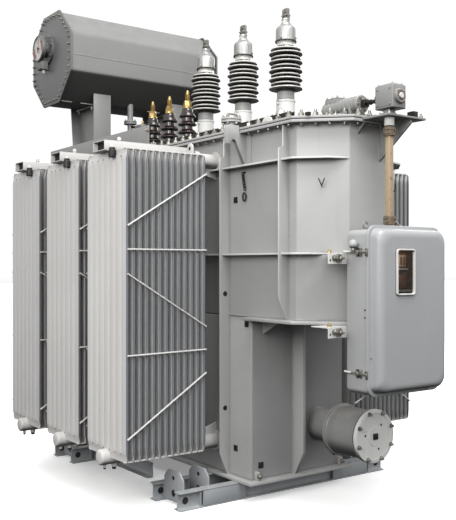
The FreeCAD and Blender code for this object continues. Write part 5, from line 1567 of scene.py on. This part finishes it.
stamp(whole, sweep(bend([(1.18, 0.08, 2.394), (1.18, 0.08, 2.45), (1.12, 0.08, 2.45), (1.06, 0.08, 2.45),
    (1.06, 0.08, 2.352)], 0.022), 0.015, 16))
piece("tap_head", whole, [gear_paint, zinc], "tap_changer_head")

gears = slab(1.65, 1.785, SHAFT_Y - 0.055, SHAFT_Y + 0.055, 2.362, 2.496, 0.007, 3)
stamp(gears, slab(1.66, 1.775, SHAFT_Y - 0.0575, SHAFT_Y + 0.0575, 2.374, 2.484, 0.003))
stamp(gears, slab(1.658, 1.777, SHAFT_Y - 0.047, SHAFT_Y + 0.047, 2.492, 2.501, 0.003))
scatter(gears, screw(0.009), square_places(1.7175, SHAFT_Y, 2.501, "z", 0.05, 0.038), 1)
scatter(gears, screw(0.009), square_places(1.7175, SHAFT_Y - 0.0575, 2.429, "-y", 0.048, 0.044), 1)
stamp(gears, lathe([(0, 0), (0.044, 0), (0.044, 0.005), (0.04, 0.007), (0.04, 0.012), (0.037, 0.0145),
    (0.03, 0.0148), (0.03, 0.0125), (0.018, 0.0125)], 48), at(1.785, SHAFT_Y, SHAFT_Z, "x"))
fit(gears, lathe([(0.018, 0.0122), (0.031, 0.0122), (0.031, 0.0138), (0.018, 0.0138)], 40), 2, 1.785,
    SHAFT_Y, SHAFT_Z, "x")
fit(gears, lathe([(0, 0.01), (0.017, 0.01), (0.017, 0.02), (0.014, 0.022), (0, 0.022)], 32), 3, 1.785,
    SHAFT_Y, SHAFT_Z, "x")
scatter(gears, screw(0.008), round_places(1.7985, SHAFT_Y, SHAFT_Z, "x", 0.0385, 4, 0.8), 1)
stamp(gears, lathe([(0, 0), (0.04, 0), (0.04, 0.008), (0.034, 0.01), (0.034, 0.028), (0, 0.028)], 36),
    at(SHAFT_X, SHAFT_Y, 2.334))
fit(gears, lathe([(0.0125, 0), (0.027, 0), (0.028, 0.002), (0.028, 0.048), (0.0125, 0.05)], 36), 3,
    SHAFT_X, SHAFT_Y, 2.272)
stamp(gears, lathe([(0.0125, -0.012), (0.026, -0.012), (0.028, -0.009), (0.028, 0.002)], 32),
    at(1.65, SHAFT_Y, SHAFT_Z, "x"))
piece("gearbox", gears, [gear_paint, zinc, shaft_joint, trim_paint], "bevel_gearbox")

shelf = slab(1.558, 1.762, -0.132, 0.18, 2.322, 2.334, 0.0025)
stamp(shelf, upright([(POCKET_FRONT, 2.1), (POCKET_FRONT, 2.322), (1.745, 2.322), (1.745, 2.297)],
    0.068, 0.08, 0.0025))
stamp(shelf, upright([(POCKET_FRONT, 2.25), (POCKET_FRONT, 2.312), (1.56, 2.312)], -0.11, -0.1, 0.0015))
stamp(shelf, slab(1.555, 1.66, -0.128, 0.176, 2.334, 2.338, 0.001, 1))
for y in (0.066, 0.082):
    bead(shelf, (POCKET_FRONT + 0.002, y, 2.11), (POCKET_FRONT + 0.002, y, 2.31))
    bead(shelf, (1.565, y, 2.32), (1.74, y, 2.32))
scatter(shelf, bolt(0.02), [(x, y, 2.334, "z") for x in (1.59, 1.745) for y in (-0.108, 0.155)], 2)
fit(shelf, slab(1.69, 1.74, 0.098, 0.138, 2.334, 2.372, 0.004), 3)
fit(shelf, slab(1.6, 1.65, 0.01, 0.05, 2.338, 2.352, 0.003), 3)
piece("platform", shelf, [gear_paint, weld_metal, zinc, black_steel], "gearbox_platform")

level = disc(0.012, 0, 0.174, 0.001, 28)
whole = stamp(bmesh.new(), level, at(1.488, SHAFT_Y, SHAFT_Z, "x"))
for x in (1.506, 1.614):
    for side in (-1, 1):
        half_clamp = slab(-0.021, 0.021, 0.0015, 0.0215, 0, 0.03, 0.004, 2)
        stamp(whole, half_clamp, at(x, SHAFT_Y, SHAFT_Z, "x", math.pi if side < 0 else 0.0))
    scatter(whole, bolt(0.009, 0.4), [(x + v, SHAFT_Y + u, SHAFT_Z + 0.0205, "z") for u in (-0.014, 0.014)
        for v in (0.008, 0.022)], 1)
stamp(whole, disc(0.016, 0, 0.012, 0.002, 28), at(1.56, SHAFT_Y, SHAFT_Z, "x"))
piece("level_shaft", whole, [black_steel, zinc], "horizontal_shaft", body="horizontal_shaft")

tube_low, tube_high = 1.731, 2.249
upright_shaft = slab(-0.017, 0.017, -0.017, 0.017, tube_low, tube_high, 0.004, 3)
whole = stamp(bmesh.new(), upright_shaft, at(SHAFT_X, SHAFT_Y, 0))
fit(whole, disc(0.0115, 1.692, 2.29, 0.001, 24), 2, SHAFT_X, SHAFT_Y, 0)
for low, high in ((1.712, 1.765), (2.214, 2.267)):
    ring = lathe([(0, low), (0.027, low), (0.03, low + 0.003), (0.03, low + 0.018), (0.026, low + 0.02),
        (0.026, high - 0.02), (0.03, high - 0.018), (0.03, high - 0.003), (0.027, high), (0, high)], 40)
    fit(whole, ring, 1, SHAFT_X, SHAFT_Y, 0)
    middle = (low + high) / 2
    for side in (-1, 1):
        fit(whole, slab(-0.024, 0.024, side * 0.0225 - 0.0035, side * 0.0225 + 0.0035, low + 0.004,
            high - 0.004, 0.002), 1, SHAFT_X, SHAFT_Y, 0)
    scatter(whole, bolt(0.01, 0.3), square_places(SHAFT_X, SHAFT_Y - 0.026, middle, "-y", 0.012, 0.012)
        + square_places(SHAFT_X, SHAFT_Y + 0.026, middle, "y", 0.012, 0.012), 2)
piece("square_shaft", whole, [shaft_paint, shaft_joint, steel], "vertical_shaft",
    body="vertical_shaft")
print("tap changer and shafts done")

# %% [markdown]
# The drive cabinet is a deep-drawn case and a deep-drawn door. Drawn sheet has big soft
# corners everywhere, so both are stacks of rounded outlines: each loop is a rounded
# rectangle at its own depth, and neighbouring loops are joined by a band of faces. The
# door's stack runs out from its back lip over a flange, a groove and a swept edge to the
# flat front, turns in at the window, and comes back as the inner skin.

# %% Drive cabinet
CASE_TOP = 1.682
LATCH_LEVELS = (1.556, 0.886)
HINGE_X, HINGE_Y = 1.7485, 0.307


def loop(y0, y1, z0, z1, radius, steps=7):
    """Corner points of a rounded rectangle in YZ, in order."""
    points = []
    for (cy, cz), start in (((y1 - radius, z1 - radius), 0), ((y0 + radius, z1 - radius), 1),
            ((y0 + radius, z0 + radius), 2), ((y1 - radius, z0 + radius), 3)):
        for k in range(steps + 1):
            a = (start + k / steps) * QUARTER
            points.append((cy + radius * math.cos(a), cz + radius * math.sin(a)))
    return points


def stack(loops, closed=False, capped=False):
    """Joins (x, outline) loops into a skin; closed joins the last to the first."""
    shape = bmesh.new()
    rings = [[shape.verts.new((x, y, z)) for y, z in points] for x, points in loops]
    pairs = list(zip(rings, rings[1:])) + ([(rings[-1], rings[0])] if closed else [])
    for low, high in pairs:
        count = len(low)
        for k in range(count):
            shape.faces.new((low[k], low[(k + 1) % count], high[(k + 1) % count], high[k]))
    if capped:
        shape.faces.new(rings[0])
        shape.faces.new(rings[-1])
    return shape


def layers(outline_of, *rows):
    """Loops for a stack, one for each row of depth, inset and corner radius."""
    return [(x, outline_of(inset, radius)) for x, inset, radius in rows]


def case_loop(inset, radius):
    """The case's outline, drawn in by an inset."""
    return loop(-CASE_HALF + inset, CASE_HALF - inset, CASE_LOW + inset, CASE_TOP - inset, radius)


case = stack(layers(case_loop, (1.583, 0.022, 0.03), (1.5845, 0.012, 0.034), (1.589, 0.0035, 0.036),
    (1.597, 0.0, 0.036), (1.7, 0.0, 0.036), (1.7445, 0.0, 0.036), (1.746, 0.0012, 0.035),
    (1.746, 0.003, 0.033), (1.7445, 0.004, 0.032), (1.7, 0.004, 0.032), (1.599, 0.004, 0.032),
    (1.591, 0.0075, 0.032), (1.588, 0.016, 0.03), (1.587, 0.026, 0.028)), capped=True)
lining = stack(layers(case_loop, (1.742, 0.0042, 0.032), (1.742, 0.005, 0.031), (1.602, 0.005, 0.031),
    (1.594, 0.0085, 0.03), (1.59, 0.02, 0.028), (1.589, 0.02, 0.028), (1.593, 0.0078, 0.031),
    (1.602, 0.0042, 0.032)), closed=True)
fit(case, lining, 1)
fit(case, slab(1.5872, 1.5892, -0.258, 0.258, 0.796, 1.655, 0.0005, 1), 1)
seal = stack(layers(case_loop, (1.7455, 0.0005, 0.036), (1.7505, 0.0012, 0.035), (1.7505, 0.0062, 0.031),
    (1.7455, 0.0068, 0.03)), closed=True)
fit(case, seal, 2)
fit(case, lathe([(0.0125, 1.68), (0.044, 1.68), (0.044, 1.686), (0.03, 1.689), (0.03, 1.706), (0.028, 1.708),
    (0.0125, 1.708)], 40), 3, SHAFT_X, SHAFT_Y, 0)
scatter(case, screw(0.008), round_places(SHAFT_X - 0.006, SHAFT_Y, 1.686, "z", 0.037, 4, 0.8), 4)
eye = sweep([(0, u, v) for u, v in arc(0.018, 0.018, 24, middle=(0, 0.024))], 0.0042, 10)
fit(case, eye, 4, 1.65, -0.2, CASE_TOP + 0.004)
fit(case, disc(0.012, 0, 0.009, 0.002, 20), 4, 1.65, -0.2, CASE_TOP - 0.001)
ball = bmesh.new()
bmesh.ops.create_uvsphere(ball, u_segments=32, v_segments=20, radius=0.026)
fit(case, ball, 0, 1.668, -0.312, 1.6)
fit(case, disc(0.014, 0, 0.016, 0.002, 24), 4, 1.668, -0.283, 1.6, "-y")
fit(case, disc(0.012, -0.002, 0.014, 0.001, 20), 4, 1.668, -0.312, 1.564)
for level, reach in zip(LATCH_LEVELS, (1.585, 1.59)):
    fit(case, sweep([(reach, -0.302, level + 0.004), (1.64, -0.302, level + 0.002)], 0.0062, 12), 3)
    fit(case, sweep([(1.64, -0.302, level + 0.002), (1.742, -0.302, level)], 0.0042, 10), 4)
    fit(case, slab(1.668, 1.712, -0.292, -0.2835, level - 0.024, level + 0.024, 0.002), 4)
    fit(case, slab(1.678, 1.7, -0.31, -0.29, level - 0.012, level + 0.012, 0.003), 4)
    scatter(case, screw(0.008), [(1.69, -0.292, level - 0.018, "-y"), (1.69, -0.292, level + 0.018, "-y")],
        5)
for level in (1.238, 1.196):
    scatter(case, screw(0.008), [(1.732, -0.2848, level, "-y")], 5)
stay = sweep(bend([(1.64, -0.18, CASE_LOW + 0.004), (1.64, -0.18, 0.75), (1.605, -0.235, 0.706)],
    0.012), 0.0045, 12)
fit(case, stay, 3)
for y in (-0.12, 0.02, 0.15):
    fit(case, lathe([(0, 0), (0.019, 0), (0.019, 0.012), (0.015, 0.014), (0.015, 0.026), (0, 0.028)], 24), 5,
        1.655, y, CASE_LOW, "-z")
    fit(case, screw(0.034), 4, 1.655, y, CASE_LOW, "-z")
piece("cabinet_case", case, [case_paint, primer, rubber, trim_paint, zinc, black_steel], "drive_case")

works = slab(1.589, 1.65, -0.15, 0.06, 1.08, 1.56, 0.006)
fit(works, slab(1.64, 1.698, -0.128, -0.02, 1.455, 1.548, 0.006, 3), 1)
fit(works, slab(1.696, 1.7, -0.112, -0.06, 1.47, 1.536, 0.002), 3)
for k in range(6):
    fit(works, slab(1.69, 1.703, -0.122 + k * 0.017, -0.112 + k * 0.017, 1.458, 1.546, 0.001, 1), 1)
fit(works, slab(1.65, 1.712, -0.146, 0.052, 1.432, 1.446, 0.002), 2)
fit(works, slab(1.65, 1.708, -0.146, 0.052, 1.3, 1.312, 0.002), 2)
for y, z in ((-0.055, 1.38), (-0.1, 1.2), (0.01, 1.2)):
    fit(works, disc(0.04, 0, 0.04, 0.003, 36), 1, 1.65, y, z, "x")
    teeth = bmesh.new()
    for k in range(24):
        stamp(teeth, slab(0.038, 0.046, -0.0025, 0.0025, 0.004, 0.02, 0.0008, 1),
            at(0, 0, 0, "z", math.tau * k / 24))
    fit(works, teeth, 2, 1.65, y, z, "x")
    fit(works, bolt(0.024, 0.4), 2, 1.69, y, z, "x")
motor = lathe([(0, 0), (0.03, 0), (0.034, 0.004), (0.042, 0.01), (0.042, 0.11), (0.036, 0.116),
    (0.03, 0.12), (0, 0.12)], 36)
for k in range(16):
    stamp(motor, slab(0.041, 0.048, -0.0016, 0.0016, 0.012, 0.106, 0.0006, 1),
        at(0, 0, 0, "z", math.tau * k / 16))
fit(works, motor, 1, 1.676, -0.045, 1.12, "z")
stamp(works, slab(1.589, 1.6, 0.09, 0.25, 1.08, 1.56, 0.003))
fit(works, slab(1.6, 1.64, 0.086, 0.15, 1.474, 1.546, 0.005, 3), 1)
fit(works, slab(1.638, 1.6415, 0.096, 0.112, 1.486, 1.534, 0.001), 0)
fit(works, slab(1.638, 1.6415, 0.122, 0.138, 1.486, 1.534, 0.001), 0)
fit(works, slab(1.596, 1.648, 0.07, 0.158, 1.456, 1.467, 0.002), 4)
stamp(works, slab(1.6, 1.636, 0.096, 0.16, 1.35, 1.45, 0.004))
fit(works, slab(1.596, 1.648, 0.07, 0.2, 1.328, 1.34, 0.002), 4)
for k in range(2):
    low = 1.11 + k * 0.105
    fit(works, slab(1.6, 1.638, 0.104, 0.164, low, low + 0.078, 0.004), 3)
    fit(works, slab(1.636, 1.641, 0.112, 0.156, low + 0.028, low + 0.05, 0.002), 4)
    fit(works, slab(1.6, 1.63, 0.18, 0.236, low, low + 0.078, 0.004), 4)
    scatter(works, screw(0.007), [(1.63, 0.19 + j * 0.018, low + 0.066, "x") for j in range(3)], 5)
    scatter(works, screw(0.007), [(1.638, 0.112 + j * 0.018, low + 0.068, "x") for j in range(3)], 5)
for k in range(9):
    y = 0.108 + k * 0.014
    fit(works, sweep(
        bend([(1.606, y, 1.112), (1.612, y, 1.07), (1.606 + k * 0.001, y - 0.01 * (k - 4), 0.98),
        (1.604, 0.02 + k * 0.006, 0.86), (1.604, 0.02 + k * 0.006, 0.79)], 0.02, 4), 0.0022, 6), 3 + (k % 2))
piece("drive_works", works, [primer, tan_casting, steel, black_steel, trim_paint, brass], "drive_mechanism")
print("cabinet case and works done")

# %% Drive door
def door_loop(inset, radius):
    """The door's outline, drawn in by an inset."""
    return loop(-DOOR_HALF + inset, DOOR_HALF - inset, DOOR_LOW + inset, DOOR_TOP - inset, radius)


def window_loop(grow, radius):
    """The window's outline, grown all round."""
    return loop(WINDOW[0] - grow, WINDOW[1] + grow, WINDOW[2] - grow, WINDOW[3] + grow, radius)


door = stack(layers(door_loop, (1.751, 0.01, 0.052), (1.751, 0.0015, 0.06), (1.7525, 0.0, 0.06),
    (1.764, 0.0, 0.06), (1.7665, 0.0015, 0.059), (1.7675, 0.0045, 0.057), (1.767, 0.015, 0.052),
    (1.7685, 0.0185, 0.05), (1.774, 0.0205, 0.05), (1.79, 0.0215, 0.052), (1.805, 0.0235, 0.054),
    (1.817, 0.0275, 0.058), (1.826, 0.0335, 0.062), (1.8325, 0.0415, 0.066), (1.8365, 0.051, 0.07),
    (1.838, 0.062, 0.074), (1.838, 0.072, 0.072)) + layers(window_loop, (1.838, 0.024, 0.026),
    (1.838, 0.002, 0.012), (1.837, 0.0, 0.01), (1.8345, 0.0, 0.01), (1.834, 0.001, 0.01),
    (1.834, 0.024, 0.026)) + layers(door_loop, (1.834, 0.074, 0.07), (1.834, 0.064, 0.072),
    (1.829, 0.046, 0.062), (1.814, 0.032, 0.054), (1.79, 0.0255, 0.048), (1.774, 0.0245, 0.046),
    (1.754, 0.0225, 0.046), (1.753, 0.012, 0.05)), closed=True)
frame_ring = stack(layers(window_loop, (1.8375, 0.012, 0.018), (1.844, 0.012, 0.018), (1.848, 0.0105, 0.017),
    (1.8498, 0.0075, 0.015), (1.8495, 0.0035, 0.012), (1.8465, 0.001, 0.01),
    (1.8375, 0.0006, 0.01)), closed=True)
fit(door, frame_ring, 1)
gasket = stack(layers(window_loop, (1.8372, 0.014, 0.02), (1.8392, 0.014, 0.02), (1.8392, 0.01, 0.018),
    (1.8372, 0.01, 0.018)), closed=True)
fit(door, gasket, 2)
for level in (0.931, 1.561):
    fit(door, lathe([(0.0043, 0), (0.0085, 0), (0.009, 0.001), (0.009, 0.029), (0.0085, 0.03),
        (0.0043, 0.03), (0.0043, 0)], 32), 3, HINGE_X, HINGE_Y, level)
    fit(door, slab(1.7525, 1.788, 0.2985, 0.3085, level, level + 0.03, 0.001, 1), 3)
    scatter(door, screw(0.007), [(1.766, 0.3085, level + 0.015, "y"), (1.78, 0.3085, level + 0.015, "y")], 4)
for level in LATCH_LEVELS:
    fit(door, slab(1.7525, 1.7665, -0.3065, -0.2965, level - 0.024, level + 0.022, 0.002), 3)
    fit(door, slab(1.7535, 1.762, -0.312, -0.3, level - 0.008, level + 0.008, 0.002), 3)
    scatter(door, screw(0.007), [(1.7595, -0.3065, level - 0.017, "-y"),
        (1.7595, -0.3065, level + 0.015, "-y")], 4)
fit(door, disc(0.004, 0, 0.002, 0.0005, 16), 4, 1.772, -DOOR_HALF + 0.0195, 0.975, "-y")
stamp(door, slab(1.786, 1.806, 0.15, 0.205, DOOR_LOW + 0.016, DOOR_LOW + 0.028, 0.003))
piece("door_shell", door, [cabinet_paint, trim_paint, rubber, zinc, black_steel], "drive_door",
    body="drive_door")
pane = stack(layers(window_loop, (1.8345, -0.0004, 0.009), (1.8375, -0.0004, 0.009)), capped=True)
piece("door_pane", pane, [glass], "drive_window", body="drive_door")

hinges = bmesh.new()
for level in (0.9, 1.53):
    stamp(hinges, disc(0.009, 0, 0.03, 0.001, 32), at(HINGE_X, HINGE_Y, level))
    stamp(hinges, disc(0.004, 0.028, 0.062, 0.0006, 24), at(HINGE_X, HINGE_Y, level))
    stamp(hinges, slab(1.7, 1.7445, 0.285, 0.305, level, level + 0.03, 0.001, 1))
    scatter(hinges, screw(0.008), [(1.712, 0.305, level + 0.015, "y"), (1.73, 0.305, level + 0.015, "y")], 1)
piece("hinge_halves", hinges, [zinc, black_steel], "door_hinges")

angles = bmesh.new()
for low in (1.49, 1.077):
    bar = [(1.575, low), (1.583, low), (1.583, low + 0.063), (1.438, low + 0.063), (1.438, low + 0.0555),
        (1.565, low + 0.055), (1.5735, low + 0.052), (1.575, low + 0.046)]
    stamp(angles, upright(bar, -0.417, 0.417, 0.0015, 1))
    for side in (-1, 1):
        stamp(angles, slab(1.44, 1.575, -0.004, 0.004, low + 0.006, low + 0.056, 0.0015, 1),
            at(0, side * 0.15, 0))
        scatter(angles, bolt(0.024, 0.7), [(1.583, side * 0.376, low + 0.034, "x"),
            (1.596, side * 0.343, low + 0.034, "x")], 1)
        scatter(angles, bolt(0.022, 0.4), [(1.575, side * 0.376, low + 0.034, "-x")], 1)
        scatter(angles, bolt(0.02, 0.4), [(1.54, side * 0.372, low + 0.063, "z")], 2)
        # the hole is a near-black disc: painted shade
        fit(angles, disc(0.006, -0.0005, 0.0006, 0.0002, 16), 3, 1.583, side * 0.404, low + 0.022, "x")
        fit(angles, slab(1.556, 1.5955, -0.017, 0.017, low + 0.01, low + 0.056, 0.003), 1, 0,
            side * 0.345, 0)
piece("mounting_angles", angles, [trim_paint, zinc, brass, hollow_painted_shade], "drive_brackets")
print("door, hinges and angles done")

# %% [markdown]
# A round oil chamber sits at the foot of the tank: a short barrel on a flanged neck,
# closed by a bolted lid with a square boss in the middle.

# %% Oil chamber
barrel = lathe([(0, 0), (0.108, 0), (0.112, 0.004), (0.105, 0.012), (0.105, 0.214), (0.11, 0.22),
    (0.163, 0.22), (0.166, 0.223), (0.166, 0.236), (0.163, 0.239), (0.156, 0.24), (0.152, 0.246),
    (0.152, 0.3), (0.1525, 0.302), (0.152, 0.304), (0.152, 0.472), (0.158, 0.48), (0.164, 0.482),
    (0.164, 0.491), (0, 0.491)], 72)
whole = stamp(bmesh.new(), barrel, at(TANK_FRONT, DRUM_Y, DRUM_Z, "x"))
hoop = [(TANK_FRONT + 0.003, u, v) for u, v in arc(0.11, 0.11, 72, middle=(DRUM_Y, DRUM_Z))]
bead(whole, *hoop, radius=0.005)
piece("oil_barrel", whole, [gear_paint, weld_metal], "oil_chamber")
lid = lathe([(0, 0.007), (0.166, 0.007), (0.166, 0.024), (0.164, 0.028), (0.158, 0.03), (0.14, 0.03),
    (0.138, 0.0285), (0.06, 0.0285), (0.058, 0.03), (0, 0.03)], 72)
whole = stamp(bmesh.new(), lid, at(1.344, DRUM_Y, DRUM_Z, "x"))
fit(whole, lathe([(0, 0), (0.1635, 0), (0.1635, 0.007), (0, 0.007)], 72), 2, 1.344, DRUM_Y, DRUM_Z, "x")
scatter(whole, bolt(0.02, 0.5), round_places(1.374, DRUM_Y, DRUM_Z, "x", 0.15, 8, 0.35), 1)
fit(whole, slab(1.372, 1.382, DRUM_Y - 0.019, DRUM_Y + 0.019, DRUM_Z - 0.019, DRUM_Z + 0.019, 0.002), 3)
for k in range(3):
    a = math.tau * k / 3 + 0.9
    fit(whole, disc(0.007, -0.001, 0.0012, 0.0004, 20), 3, 1.3725, DRUM_Y + 0.085 * math.cos(a),
        DRUM_Z + 0.085 * math.sin(a), "x")
piece("oil_lid", whole, [trim_paint, zinc, rubber, black_steel], "oil_chamber_cover")
print("oil chamber done")

# %% Finish
print(len(pieces), "pieces,", sum(t for name, t in pieces), "triangles")
